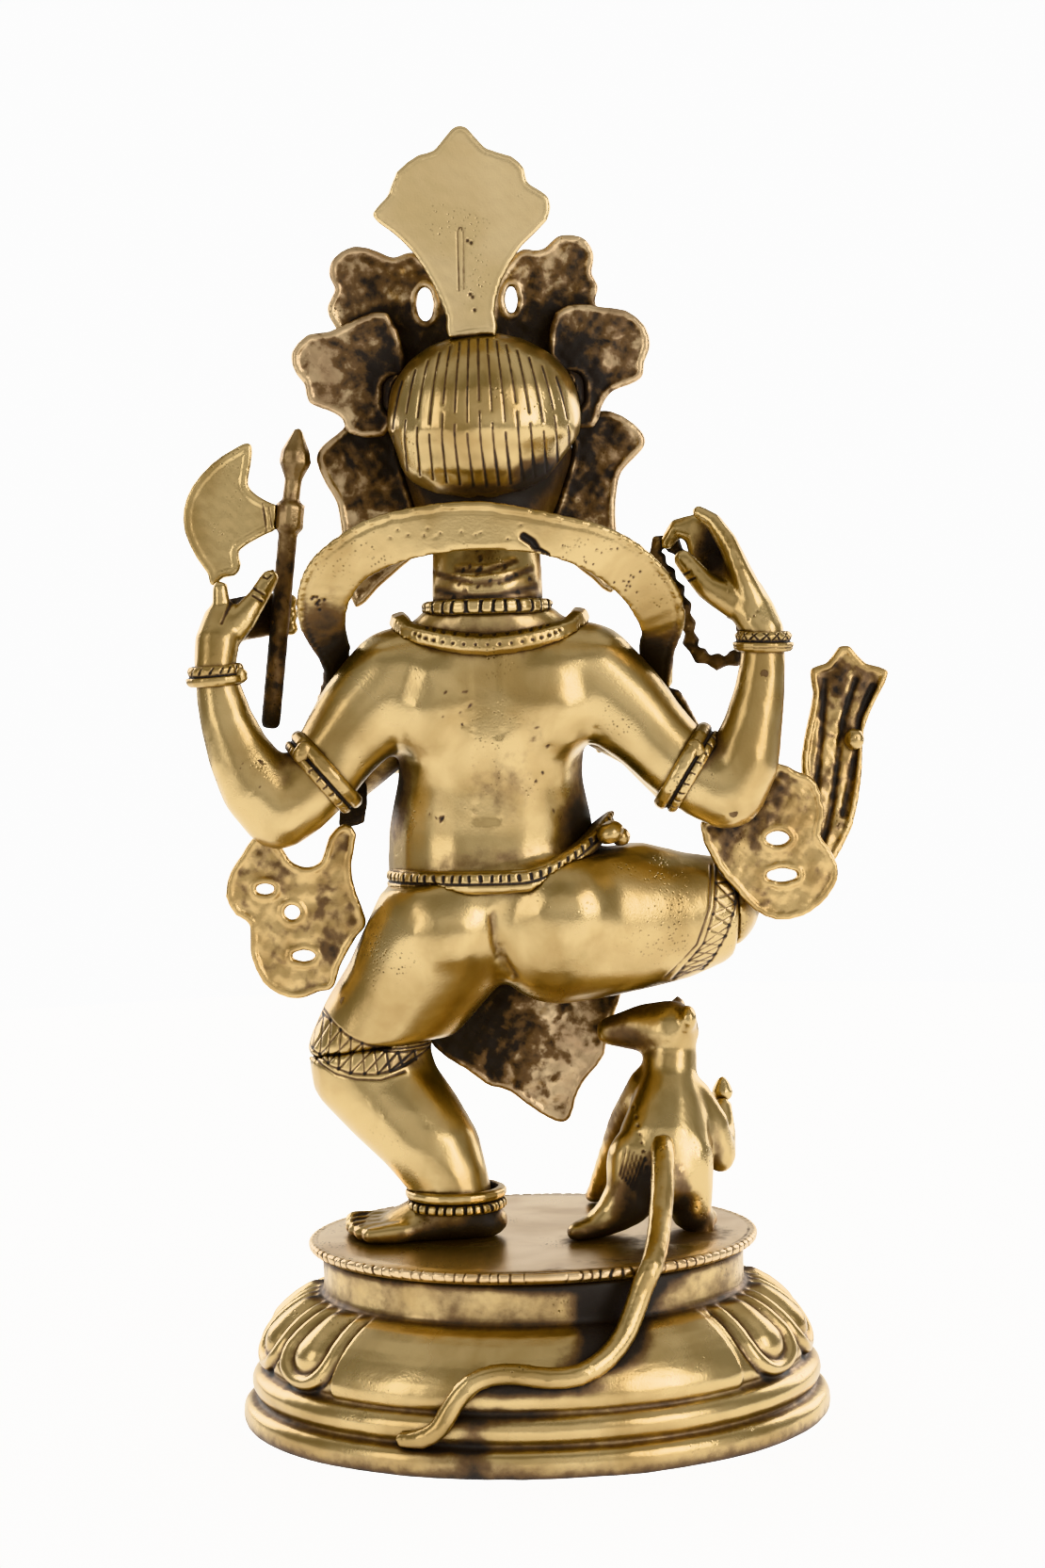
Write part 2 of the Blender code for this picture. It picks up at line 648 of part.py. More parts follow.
def make_forearms():
    left = modelled(
        "left_forearm",
        [[(46, 3.4, 174, 10, 10, 10), (50.6, 4, 168.6, 9.7, 9.6, 9.7), (57, 5, 162.6, 9.8, 9.4, 9.8),
          (62, 5.8, 159.6, 10, 9.6, 10.2), (67, 6.4, 165.5, 9.6, 9.2, 9.6), (71.6, 6.8, 174, 8, 7.8, 8),
          (74.4, 7, 182, 6.8, 6.7, 6.8), (76.2, 7, 190, 5.8, 5.7, 5.8), (77.1, 7, 198, 5.1, 5, 5.1)]],
        330, 1.1,
    )
    trim(left, figure_point(*LEFT_ARM_JOINT), [-v for v in LEFT_ARM_AXIS], 14.5, 22)
    trim(left, figure_point(*LEFT_WRIST), LEFT_WRIST_AXIS, 11, 16)
    right = modelled(
        "right_forearm",
        [[(-36, 3.6, 172, 9.9, 9.8, 9.9), (-42.6, 4.4, 167.3, 9.7, 9.6, 9.7),
          (-47, 5, 164, 9.7, 9.4, 9.7),
          (-52.6, 5.8, 161.8, 10, 9.6, 10.2), (-56.8, 6.3, 168.5, 9, 8.8, 9),
          (-59.3, 6.8, 177.5, 7.5, 7.3, 7.5),
          (-61.2, 7, 186, 6.4, 6.2, 6.4), (-62.3, 7, 194, 5.7, 5.6, 5.7), (-62.6, 7, 203, 5.1, 5, 5.1)]],
        330, 1.1,
    )
    trim(right, figure_point(*RIGHT_ARM_JOINT), [-v for v in RIGHT_ARM_AXIS], 14.5, 22)
    trim(right, figure_point(*RIGHT_WRIST), RIGHT_WRIST_AXIS, 11, 16)
    return left, right


def make_hands():
    fingers = [
        [(75.6, 2.5, 208.5, 2.6, 2.3, 2.6), (75.2, 3, 213, 2.1, 2, 2.1), (75.4, 3, 216.4, 1.8, 1.8, 1.8)],
    ]
    for k in range(3):
        low = 210.8 - 3.6 * k
        fingers.append(
            [(74, -1.5, low, 2.3), (70.5, -7.4, low + 1, 2.0), (64.5, -12.8, low + 1.6, 1.9),
             (58.5, -13.2, low + 1.4, 1.7)]
        )
    left = modelled(
        "left_hand",
        [[(76.6, 7, 190, 5.4, 5.3, 5.4), (77, 7, 197, 5.1, 4.8, 5), (76.3, 5.4, 203, 5.5, 4.6, 5),
          (74.8, 2.4, 208, 5.2, 4.4, 4.6)],
         [(76, 4.6, 202.5, 4.4, 4, 4), (70, 3.4, 208.4, 3.4, 3.2, 3.4), (66.2, 2, 213.2, 2.4, 2.4, 2.6),
          (62.8, 0, 218.6, 2.1, 2, 2.1)],
         *fingers],
        460, 0.7, soften=2,
    )
    trim(left, figure_point(*LEFT_WRIST), [-v for v in LEFT_WRIST_AXIS], 11, 16)
    outer = [(-60.4, 6, 208, 4, 4, 4), (-57.6, 5.2, 216, 2.8, 4, 3), (-54.4, 3.6, 224, 2.2, 3.4, 3),
             (-50.8, 1.5, 230, 1.9, 2.4, 2), (-47, 0, 232.6, 1.6, 1.7, 1.4)]
    knuckles = []
    for k in range(3):
        reach = -1.5 * k
        knuckles.append(
            [(-55 + 3.4 * k, -4 + reach * 0.4, 217 + k, 2.6, 2.4, 3),
             (-52 + 3.2 * k, -6 + reach * 0.3, 226.4 + 0.6 * k, 2.1, 2.1, 2.4),
             (-46.6 + 2.4 * k, -7 + reach * 0.3, 230 - 0.8 * k, 1.9, 1.9, 1.8),
             (-41.6 + 1.2 * k, -8.4, 229 - 2.2 * k, 1.7, 1.7, 1.7)]
        )
    right = modelled(
        "right_hand",
        [[(-62.5, 7, 192, 5.4, 5.3, 5.4), (-62.6, 7, 202, 4.9, 4.7, 5), (-60, 5.6, 207, 5.6, 4.6, 4.6),
          (-56.4, 2.4, 212, 6.6, 4.4, 4.6)],
         [(-56.4, 1.4, 212, 6.2, 3.6, 4.4), (-53, -2.4, 218, 6, 2.6, 5)],
         [(-56, 4.5, 209, 4.2, 4, 4), (-48.8, 4, 213.4, 3, 3, 3.2), (-42.8, 3, 220.6, 2.3, 2.1, 2.4)],
         outer, *knuckles],
        500, 0.7, soften=2,
    )
    trim(right, figure_point(*RIGHT_WRIST), [-v for v in RIGHT_WRIST_AXIS], 11, 16)
    return left, right


def make_front_arms():
    left = modelled(
        "front_left_arm",
        [[(27, -7, 184, 9, 8, 9), (36, -14, 174.5, 8, 8, 8), (45, -21, 166.4, 7.4, 7.4, 7.4),
          (44.5, -26, 167.6, 7.2, 7.2, 7.2), (37, -34, 171, 5.8, 5.8, 5.8),
          (29, -42, 170, 5.6, 5.6, 5.6), (23, -46, 165.5, 6.2, 5, 4), (20, -51, 165, 5.4, 5, 2.6)],
         *[[(20 + 2.6 * k, -50, 165.6, 2.2, 3, 2.2),
            (17.5 + 3.6 * k, -56.5, 168.6 + 0.8 * abs(k), 1.8, 1.9, 1.8)] for k in (-1, 0, 1)]],
        360, 1.0, soften=3,
    )
    right = modelled(
        "front_right_arm",
        [[(-15, -7, 185, 9, 8, 9), (-31.5, -13, 174, 8, 8, 8), (-41, -20, 163.4, 7.8, 7.8, 7.8),
          (-38.5, -26, 166.5, 7, 7, 7), (-32, -35, 172.5, 5.8, 5.8, 5.8),
          (-26.5, -43, 178.5, 5, 5, 5)],
         *[[(-25, -44.6, 176 + 3.4 * k, 2.4, 3, 2.1), (-19, -48.6, 176.6 + 3.4 * k, 2, 2, 1.9),
            (-17.4, -44.6, 177 + 3.4 * k, 1.8, 1.8, 1.8)] for k in range(3)]],
        360, 1.0, soften=3,
    )
    return left, right


def make_head():
    skull = [(7, -8, 262, 20, 19, 15), (7, -11, 250, 22.5, 21, 16), (7.2, -12, 238, 19, 18, 11),
             (7.3, -3, 227, 13.6, 13, 8), (7.4, 2.6, 217, 14, 12.6, 6), (7.4, 3, 206, 14.2, 12.6, 6)]
    brows = [[(14.5, -24, 256, 10, 9, 11)], [(-0.5, -24, 256, 10, 9, 11)]]
    cheeks = [[(18, -22, 240, 7.5, 8.5, 8)], [(-4, -22, 240, 7.5, 8.5, 8)]]
    jaw = [(7, -20, 230, 9.5, 10, 6.5), (7, -28, 224, 6, 5.5, 4.5)]
    trunk = [
        (7, -30, 246, 9.5, 9, 9), (7, -38, 236, 8.4, 7.6, 8), (7.2, -43, 224, 7.2, 6.8, 7.4),
        (8.4, -46.5, 211, 6.4, 6.2, 6.4),
        (11, -49, 199, 5.6, 5.6, 5.6), (15, -50.5, 189.5, 5, 5, 5), (20.5, -50.5, 183, 4.3, 4.3, 4.3),
        (26, -49.4, 183.6, 3.7, 3.7, 3.7),
    ]
    socket = [[(17.5, -30, 229.5, 4.6, 6, 4.6)], [(-3.5, -30, 229.5, 4.6, 6, 4.6)]]
    head = modelled("head", [skull, *brows, *cheeks, jaw, trunk, *socket], 920, 1.3, soften=4)
    trim(head, figure_point(*NECK), (0, 0, -1), 30, 20)
    return head


def make_rat():
    body = [(-33.5, 4, 62, 12.4, 11, 9), (-34.8, 2, 72, 11.7, 10.4, 9), (-36, -1, 80, 9.2, 9, 7),
            (-36.6, -4, 87, 6.9, 7.2, 5), (-37, -6, 92, 6.9, 7.4, 5)]
    head = [(-37.3, -6.5, 98, 7.3, 8, 7.8), (-31, -9, 98.6, 6.5, 6, 6.2), (-25, -10.4, 98, 4.8, 4.8, 4.6),
            (-21.6, -11, 97.6, 3.6, 3.8, 3.6)]
    ears = [[(-41.6, -1, 102, 2.2, 4.2, 3.6)], [(-39.6, -13.6, 103, 2, 4, 3.2)]]
    left_leg = [(-27, 6, 66, 7.4, 7, 9), (-25.5, 7, 58, 6, 6.6, 8), (-20.6, 8, 52.8, 4.4, 4.6, 4.8),
                (-16, 9, 50, 3.8, 4.6, 2.8), (-11.4, 12, 49.4, 3, 3.4, 2.5)]
    right_leg = [(-41, 5, 66, 6, 7, 10), (-41.2, 4, 57, 5.4, 5.8, 8), (-40.9, 3, 51.4, 5, 5.4, 4),
                 (-45, -1, 49.6, 3.4, 4, 2.4)]
    left_arm = [(-31, -6, 84, 5, 5, 5), (-24.5, -15, 73, 3.6, 3.8, 4), (-20, -26, 59, 2.9, 3, 3),
                (-17.5, -32, 50.6, 2.6, 3.2, 2.6), (-16.8, -36, 49.2, 2.8, 3, 1.9)]
    right_arm = [(-42.5, -3, 81, 4.6, 5, 5), (-47.4, -3, 73, 4.2, 4.4, 5.5), (-49.4, -4, 65.4, 3.9, 4, 4.6),
                 (-51, -11, 70, 3, 3, 3), (-50.6, -14.6, 76, 2.6, 2.6, 2.8)]
    limbs = [left_leg, right_leg, left_arm, right_arm]
    rat = modelled("rat_body", [body, head, *ears, *limbs], 820, 0.9, place=rat_point, soften=3)
    deck = Vector((-0.036, 0, PEDESTAL_HEIGHT + CLEARANCE))
    combine(rat, rod(deck, deck - Vector((0, 0, 0.012)), 0.050, 16), "DIFFERENCE")
    drop = [(-51, -17.4, 79.6, 2.6, 2.6, 2.4), (-51, -17.4, 82.2, 1.2, 1.2, 1.6)]
    sweet = modelled("rat_sweet", [drop], 70, 0.5, place=rat_point, soften=1)
    return rat, seat(sweet, rat)


def on_pedestal(x, z, stand):
    """A place on the back of the pedestal, standing off its surface. x and z are in metres."""
    radius = pedestal_radius(z)
    flat = PEDESTAL_DEPTH / PEDESTAL_WIDTH
    return Vector((x, sqrt(max(radius ** 2 - x ** 2, 0)) * flat + stand, z))


def make_rat_tail(rat, base, deck):
    """The tail hangs over the deck's edge and lies across the pedestal down to its foot."""
    rim = pedestal_radius(PEDESTAL_HEIGHT) + DECK_OVERHANG
    flat = PEDESTAL_DEPTH / PEDESTAL_WIDTH
    over = Vector((-0.0290, sqrt(rim ** 2 - 0.029 ** 2) * flat + TAIL_RADIUS + CLEARANCE,
                   PEDESTAL_HEIGHT + 0.0004))
    down = PEDESTAL_HEIGHT / DRAWN_DECK
    hugging = [(-0.0172, 27.7), (-0.0105, 24.6), (-0.003, 24.2), (0.0050, 25.2), (0.0105, 25.0),
               (0.0160, 23.0),
               (0.0205, 18.0), (0.0240, 12.6), (0.0285, 9.8), (0.0340, 9.0)]
    stand = 0.62 * TAIL_RADIUS
    path = [rat_point(-33.8, 10.5, 72), rat_point(-33.6, 17, 69.4), rat_point(-33.2, 23.5, 64.4)]
    path += [rat_point(-32.2, 31, 57.6)]
    path += [rat_point(-31, 39, 52.6), over, over + Vector((0.0025, 0.0012, -0.005))]
    path += [Vector((-0.0222, over.y + 0.0055, PEDESTAL_HEIGHT - 0.0145))]
    path += [on_pedestal(x, z * down, stand) for x, z in hugging]
    path = smooth_path(path, 2)
    count = len(path)
    radii = [TAIL_RADIUS * (1.04 - 0.26 * k / count) for k in range(count)]
    for k, share in ((1, 0.7), (2, 0.82)):
        radii[-k] *= share
    tail = tube("rat_tail", path, radii, 7)
    return seat(tail, rat, base, deck)


# ---------------------------------------------------------------- head-dress and ears


CROWN_MIDDLE = (7, -9, 263)
CROWN_HALF_WIDTH, CROWN_HALF_DEPTH = 24, 22.9
CROWN_LEAN = 0.18


def make_head_dress(head):
    cap = modelled(
        "hair_cap", [[(7, 3, 259.4, 24.6, 20.6, 19.8), (8.6, 3.4, 247.4, 20, 17.6, 10)],
                     [(7, 4, 256, 24.8, 20.4, 12)]],
        280, 1.2, soften=2,
    )
    front = figure_point(0, -7.5, 0)
    block = rod(Vector((figure_point(7, 0, 0).x, front.y, figure_point(0, 0, 258).z)),
                Vector((figure_point(7, 0, 0).x, front.y - 0.03, figure_point(0, 0, 258).z)), 0.05, 16)
    combine(cap, block, "DIFFERENCE")
    seat(cap, head)
    scale = length_scale(figure_point)
    crown = band("crown_band", figure_point(*CROWN_MIDDLE), (0, -CROWN_LEAN, 1),
                 [CROWN_HALF_WIDTH * scale, CROWN_HALF_DEPTH * scale],
                 CROWN_BAND_STAND, CROWN_BAND_HEIGHT, [head, cap], sides=18, sunk=14 * scale)
    return cap, crown


PLUME = [
    (15, 278), (15.5, 283), (18.5, 291), (23.5, 299.5), (29, 305), (33.6, 309), (29.5, 313.5),
    (27, 319.5),
    (21.5, 323.5), (17.5, 324.5), (13, 329.8), (9.5, 330), (5, 324.8), (-1.5, 322.6), (-4.6, 319.5),
    (-5.4, 315.8),
    (-10.4, 312.5), (-10.2, 306.8), (-3.4, 300.4), (1.8, 292), (3.8, 284), (3.6, 278),
]
LEFT_UPPER_LEAF = [
    (14, 275), (13.4, 284), (15.6, 291), (20.5, 297.5), (24.5, 300.6), (29, 299.1), (33, 300.8),
    (39, 302.4),
    (44.5, 299.4), (45.6, 295),
    (44, 291.6), (46.4, 287), (44.6, 282.5), (40, 276), (30, 268),
]
LEFT_LOWER_LEAF = [
    (31, 285), (38, 284), (46, 280.6), (51.5, 280), (55.7, 275.4), (54.6, 270.4), (52.4, 267.6),
    (51.6, 263), (46.6, 260.9),
    (43, 258.6), (41.5, 255), (33, 254), (28, 262), (27, 274),
]
RIGHT_UPPER_LEAF = [
    (5, 275), (4.6, 284), (4, 290), (0.5, 296.5), (-4, 300.6), (-7, 300), (-10, 300.8), (-13.5, 303.8),
    (-19.5, 303), (-22, 298.6),
    (-21.2, 294), (-23, 290.6), (-21.8, 286.6), (-24, 282), (-20, 275), (-12, 268),
]
RIGHT_LOWER_LEAF = [
    (-12, 284), (-18, 286), (-24, 285), (-30, 284), (-34.5, 280), (-35.7, 275), (-34, 271),
    (-33.6, 267.4), (-30, 265.4),
    (-25.5, 263.8), (-22.7, 259.5), (-21, 255), (-14, 256), (-11, 264), (-10, 275),
]
LEFT_EAR = [
    (24, 255), (34, 259), (42, 260.6), (43, 256.4), (48.4, 252.4), (50.6, 248.6), (48.2, 242),
    (45.6, 237.4), (44.6, 230),
    (44, 219), (41.5, 210), (36, 215), (30, 220), (24, 226), (21, 240),
]
RIGHT_EAR = [
    (-10, 255), (-17, 258), (-25, 259), (-31.5, 255.4), (-34.4, 251), (-31.8, 247.4), (-28, 243.6),
    (-26.6, 239), (-26, 232),
    (-26.4, 222), (-25, 212), (-20, 216), (-14, 221), (-9, 228), (-7, 240),
]
FRONT_LEAF = [
    (-4, 262), (-5.5, 268), (-3, 272), (-4, 277), (0, 281), (2, 286), (7, 291), (12, 286), (14, 281),
    (18, 277), (17, 272),
    (19.5, 268), (18, 262), (7, 260),
]


def make_crown_leaves(head, cap, crown):
    upper, lower = -7.0, -3.2
    leaves = [
        plate("crown_left_upper_leaf", LEFT_UPPER_LEAF, upper, CROWN_PLATE, [(21.4, 287.3, 2.4, 4.9)],
              kind=ROUGH_BRASS),
        plate("crown_right_upper_leaf", RIGHT_UPPER_LEAF, upper, CROWN_PLATE, [(-0.7, 287.9, 1.8, 4)],
              kind=ROUGH_BRASS),
        plate("crown_left_lower_leaf", LEFT_LOWER_LEAF, lower, CROWN_PLATE, kind=ROUGH_BRASS),
        plate("crown_right_lower_leaf", RIGHT_LOWER_LEAF, lower, CROWN_PLATE, kind=ROUGH_BRASS),
    ]
    for leaf in leaves:
        seat(leaf, head, cap, crown)
    stand = (CROWN_BAND_STAND + CLEARANCE + CROWN_PLATE / 2) / length_scale(figure_point)
    before = CROWN_MIDDLE[1] - CROWN_HALF_DEPTH - stand
    front = seat(plate("crown_front_leaf", FRONT_LEAF, before, CROWN_PLATE, lean=CROWN_LEAN), head, crown)
    plume = seat(plate("crown_plume", PLUME, 8, CROWN_PLATE, kind=BRASS), cap)
    return [*leaves, front, plume]


def make_ears(head, cap, crown):
    ears = [
        plate("left_ear", LEFT_EAR, -11.4, CROWN_PLATE, kind=ROUGH_BRASS),
        plate("right_ear", RIGHT_EAR, -11.4, CROWN_PLATE, kind=ROUGH_BRASS),
    ]
    for ear in ears:
        seat(ear, head, cap, crown)
    return ears


def make_tusk(head):
    tusk = modelled(
        "right_tusk", [[(-3.6, -31, 229, 2.6, 2.6, 2.6), (-5.6, -38, 226.6, 2.1, 2.1, 2.1),
                        (-7, -44, 227.6, 1.2, 1.2, 1.2)]],
        90, 0.6, soften=1,
    )
    return seat(tusk, head)


# ---------------------------------------------------------------- ornaments


def make_ornaments(part):
    """Bands that cover the joints of the limbs."""
    scale = length_scale(figure_point)
    torso, shin, foot = part["torso"], part["left_shin"], part["left_foot"]
    arm = 10.1 * scale + CLEARANCE
    for side, joint, axis in (("left", LEFT_ARM_JOINT, LEFT_ARM_AXIS),
                              ("right", RIGHT_ARM_JOINT, RIGHT_ARM_AXIS)):
        band(f"{side}_armlet", figure_point(*joint), axis, [arm, arm], ARMLET_STAND, ARMLET_HEIGHT,
             [torso, part[f"{side}_forearm"]], lips=2)
    wrist = 5.5 * scale + CLEARANCE
    for side, joint, axis in (("left", LEFT_WRIST, LEFT_WRIST_AXIS),
                              ("right", RIGHT_WRIST, RIGHT_WRIST_AXIS)):
        band(f"{side}_bracelet", figure_point(*joint), axis, [wrist, wrist], BRACELET_STAND,
             BRACELET_HEIGHT,
             [part[f"{side}_forearm"], part[f"{side}_hand"]], lips=2, sides=16)
    ankle = [10.6 * scale + CLEARANCE, 10.2 * scale + CLEARANCE]
    joint = figure_point(*LEFT_ANKLE)
    step = Vector((0, 0, (ANKLET_HEIGHT + CLEARANCE) / 2))
    band("left_anklet_ring", joint + step, (0, 0, 1), ankle, ANKLET_STAND, ANKLET_HEIGHT, [shin, foot])
    band("left_anklet_beads", joint - step, (0, 0, 1), ankle, ANKLET_STAND, ANKLET_HEIGHT, [foot])
    small = 6.8 * scale + CLEARANCE
    band("right_anklet", figure_point(*RIGHT_ANKLE), RIGHT_ANKLE_AXIS, [small, small], ANKLET_STAND,
         1.6 * ANKLET_HEIGHT,
         [part["right_shin"], part["right_foot"]], sides=16)
    band("waist_belt", figure_point(5.8, -7.4, 139.6), (0, -0.04, 1), [27.6 * scale, 24.6 * scale],
         BELT_STAND, BELT_HEIGHT, [torso, part["hips"]], sides=24, sunk=6 * BELT_STAND, lift=belt_lift)
    return band("neck_beads", figure_point(7.4, 2.6, 209.6), (0, -0.06, 1),
                [14.6 * scale + CLEARANCE, 13 * scale + CLEARANCE], NECK_BEAD_STAND, NECK_BEAD_HEIGHT,
                [torso, part["head"]])


def make_collar(part, beads):
    """A sagging necklet on the shoulders."""
    path = [
        (30, 0, 206.6), (27.4, 7.6, 204), (19, 13.6, 202), (7.6, 16, 200.6), (-4.6, 13.8, 202),
        (-13, 7.6, 204),
        (-16, 0, 206.6), (-13, -9, 201), (-4, -16.4, 191), (7, -19.4, 187), (18, -16.4, 191),
        (27, -9, 201),
    ]
    looped = smooth_loop([figure_point(*p) for p in path], 2)
    radius = 2.7 * length_scale(figure_point)
    collar = tube("collar", looped, [radius] * len(looped), 6, closed_path=True)
    return seat(collar, part["torso"], beads)


def make_scarf(part):
    """A scarf that stands out behind the shoulders in one loop."""
    edges = [
        ((52.6, -10.5, 184.0), (46.2, -12.6, 186.6)), ((49.6, -4.0, 194.0), (43.6, -4.0, 199.4)),
        ((55.0, 6.0, 206.0), (43.9, 5.0, 206.2)),
        ((54.6, 13.0, 215.4), (42.2, 11.0, 212.8)), ((49.8, 18.0, 224.0), (37.4, 16.0, 218.4)),
        ((36.8, 21.5, 232.4), (29.4, 20.0, 222.0)), ((20.5, 24.0, 235.8), (19.0, 22.5, 224.2)),
        ((7.5, 24.6, 236.2), (7.4, 23.2, 224.7)), ((-8.0, 24.0, 233.2), (-5.4, 22.4, 223.6)),
        ((-26.0, 21.0, 227.8), (-17.4, 19.5, 219.2)), ((-37.6, 16.5, 218.0), (-26.4, 14.5, 212.2)),
        ((-42.6, 9.0, 206.6), (-31.6, 7.0, 203.6)), ((-40.0, -1.0, 196.6), (-31.4, -2.6, 198.4)),
        ((-39.4, -9.0, 187.6), (-33.0, -11.4, 189.8)),
    ]
    scarf = ribbon("shoulder_scarf", edges, SCARF_THICKNESS, 3, kind=BRASS)
    return seat(scarf, part["torso"], part["hair_cap"], part["head"], part["left_ear"], part["right_ear"])


# ---------------------------------------------------------------- things held


def make_axe(hand):
    top, bottom = figure_point(57.4, -8, 238), figure_point(64.6, -8, 179.6)
    shaft = tube(
        "axe_shaft",
        [bottom, bottom.lerp(top, 0.02), bottom.lerp(top, 0.5), bottom.lerp(top, 0.86),
         bottom.lerp(top, 0.88),
         bottom.lerp(top, 0.985), top, figure_point(56.6, -8, 243.6), figure_point(56.0, -8, 247.8),
         figure_point(55.8, -8, 250.6), figure_point(54.9, -8, 256.6)],
        [SHAFT_RADIUS * f for f in (0.7, 1.0, 1.0, 1.0, 1.5, 1.5, 0.9, 0.9, 1.65, 1.5, 0.3)], 8,
        kind=DARK_BRASS,
    )
    outline = [
        (67.2, 253), (71.5, 251.6), (77.2, 248), (82.4, 242.4), (84.8, 236.6), (84.7, 230.6), (82, 224.2),
        (79.2, 220),
        (78.4, 216.6), (75.6, 218.9), (72.4, 219.4), (70.9, 222), (71.4, 225.6), (66, 228.9), (62, 230.6),
        (59.6, 231), (60, 236.4),
        (62.4, 237.4), (66.2, 239.6), (68.5, 242.4), (67.7, 247),
    ]
    blade = plate("axe_blade", outline, -7.6, BLADE_PLATE)
    seat(blade, shaft)
    seat(hand, shaft)
    return shaft, seat(blade, hand)


def make_rosary(hand, others):
    """A closed loop of cast beads that hangs from the fingers."""
    loop = [
        (-36.0, -10, 222.8), (-40.0, -10.6, 215.6), (-43.2, -11, 208.6), (-44.6, -10.6, 202),
        (-45.8, -10, 196.6), (-51.6, -10, 193.6), (-57.4, -10, 195.2), (-59.4, -10, 200.6),
        (-56.0, -10.6, 206.6), (-50.4, -11, 212.4), (-44.8, -11, 219.2), (-39.4, -10.4, 225.4),
    ]
    path = smooth_loop([figure_point(*p) for p in loop], 8)
    around = [(a - b).length for a, b in zip(path, path[1:] + path[:1])]
    beads = round(sum(around) / (2.05 * BEAD_RADIUS))
    spaced = []
    for k in range(2 * beads):
        wanted = sum(around) * k / (2 * beads)
        gone = 0.0
        for point, following, step in zip(path, path[1:] + path[:1], around):
            if gone + step >= wanted:
                spaced.append(point.lerp(following, (wanted - gone) / step))
                break
            gone += step
    radii = [BEAD_RADIUS if k % 2 else 0.5 * BEAD_RADIUS for k in range(2 * beads)]
    rosary = tube("rosary", spaced, radii, 6, closed_path=True, kind=DARK_BRASS)
    seat(hand, rosary)
    return seat(rosary, *others)


def make_offerings(part):
    scale = length_scale(figure_point)
    middle = figure_point(20.4, -53.4, 171.4)
    rise = [(-2.6, 3.4), (-2.2, 5.6), (0.0, 7.6), (2.6, 8.6), (3.0, 8.2), (1.4, 6.4), (0.6, 3.4)]
    bm = bmesh.new()
    rings = [
        [
            bm.verts.new(middle + Vector((cos(a) * r, sin(a) * r, z)) * scale)
            for a in (2 * pi * k / 16 for k in range(16))
        ]
        for z, r in rise
    ]
    bridge(bm, rings)
    bowl = seat(object_from("sweet_bowl", bm), part["front_left_arm"])
    heap = [[(20.4, -53.4, 173.2, 5.2, 5.2, 1.6), (20.4, -53.4, 176.4, 2, 2, 1.6)],
            *[[(20.4 + 3.6 * cos(a), -53.4 + 3.6 * sin(a), 174.6, 2.2, 2.2, 2.2)]
              for a in (0.3, 1.6, 2.8, 4.1, 5.3)]]
    sweets = seat(modelled("sweets", heap, 160, 0.7, soften=1), bowl, part["head"])
    radish = modelled(
        "held_tusk", [[(-21.5, -44.8, 169, 1.2), (-21.6, -45.4, 176, 2.1), (-21.8, -46, 187, 2.6),
                       (-22.6, -46.6, 194, 2.2)],
                      [(-22.6, -46.6, 194, 1.4), (-25.4, -46, 200, 1.1)],
                      [(-22.6, -46.6, 194, 1.4), (-20, -47, 200.6, 1.1)]],
        130, 0.7, soften=1,
    )
    seat(part["front_right_arm"], radish)
    return bowl, sweets, radish


LEFT_BOW = [
    (46, 154.6), (49.8, 151.4), (52, 145), (56.4, 143.6), (60.2, 145.4), (62, 148.6), (65, 151.8),
    (69, 152), (72.6, 147), (75.6, 142.6),
    (76.8, 136.8), (74.4, 132), (70.8, 129.4), (71, 122), (68, 114.4), (63.4, 110.8), (58.6, 109.8),
    (53.6, 111.6), (50, 112.4),
    (48.2, 118), (43.4, 126), (41, 129), (43.6, 137), (44.6, 144), (43, 152),
]
RIGHT_BOW = [
    (-46, 152.6), (-49.6, 142), (-54, 136), (-59.5, 129.8), (-65, 127), (-71.4, 127.6), (-76.6, 130.8),
    (-80.6, 136), (-81, 140.6),
    (-78.8, 145.2), (-76.6, 148.6), (-77.8, 153), (-77.2, 159), (-74.8, 163.4), (-71, 165),
    (-66.4, 167.2), (-62, 163), (-57, 156),
]
FLAP = [
    (27, 97), (21.6, 90.6), (16, 87), (10.8, 82.8), (5.6, 81.4), (0, 77), (-5.4, 73.4), (-9, 72.2),
    (-11, 74.4), (-12.6, 80),
    (-16, 85.2), (-19.8, 89.6), (-21.4, 97), (-23.6, 102.6), (-25, 110), (-20, 124), (-8, 134), (10, 136),
    (24, 128), (30, 112),
]


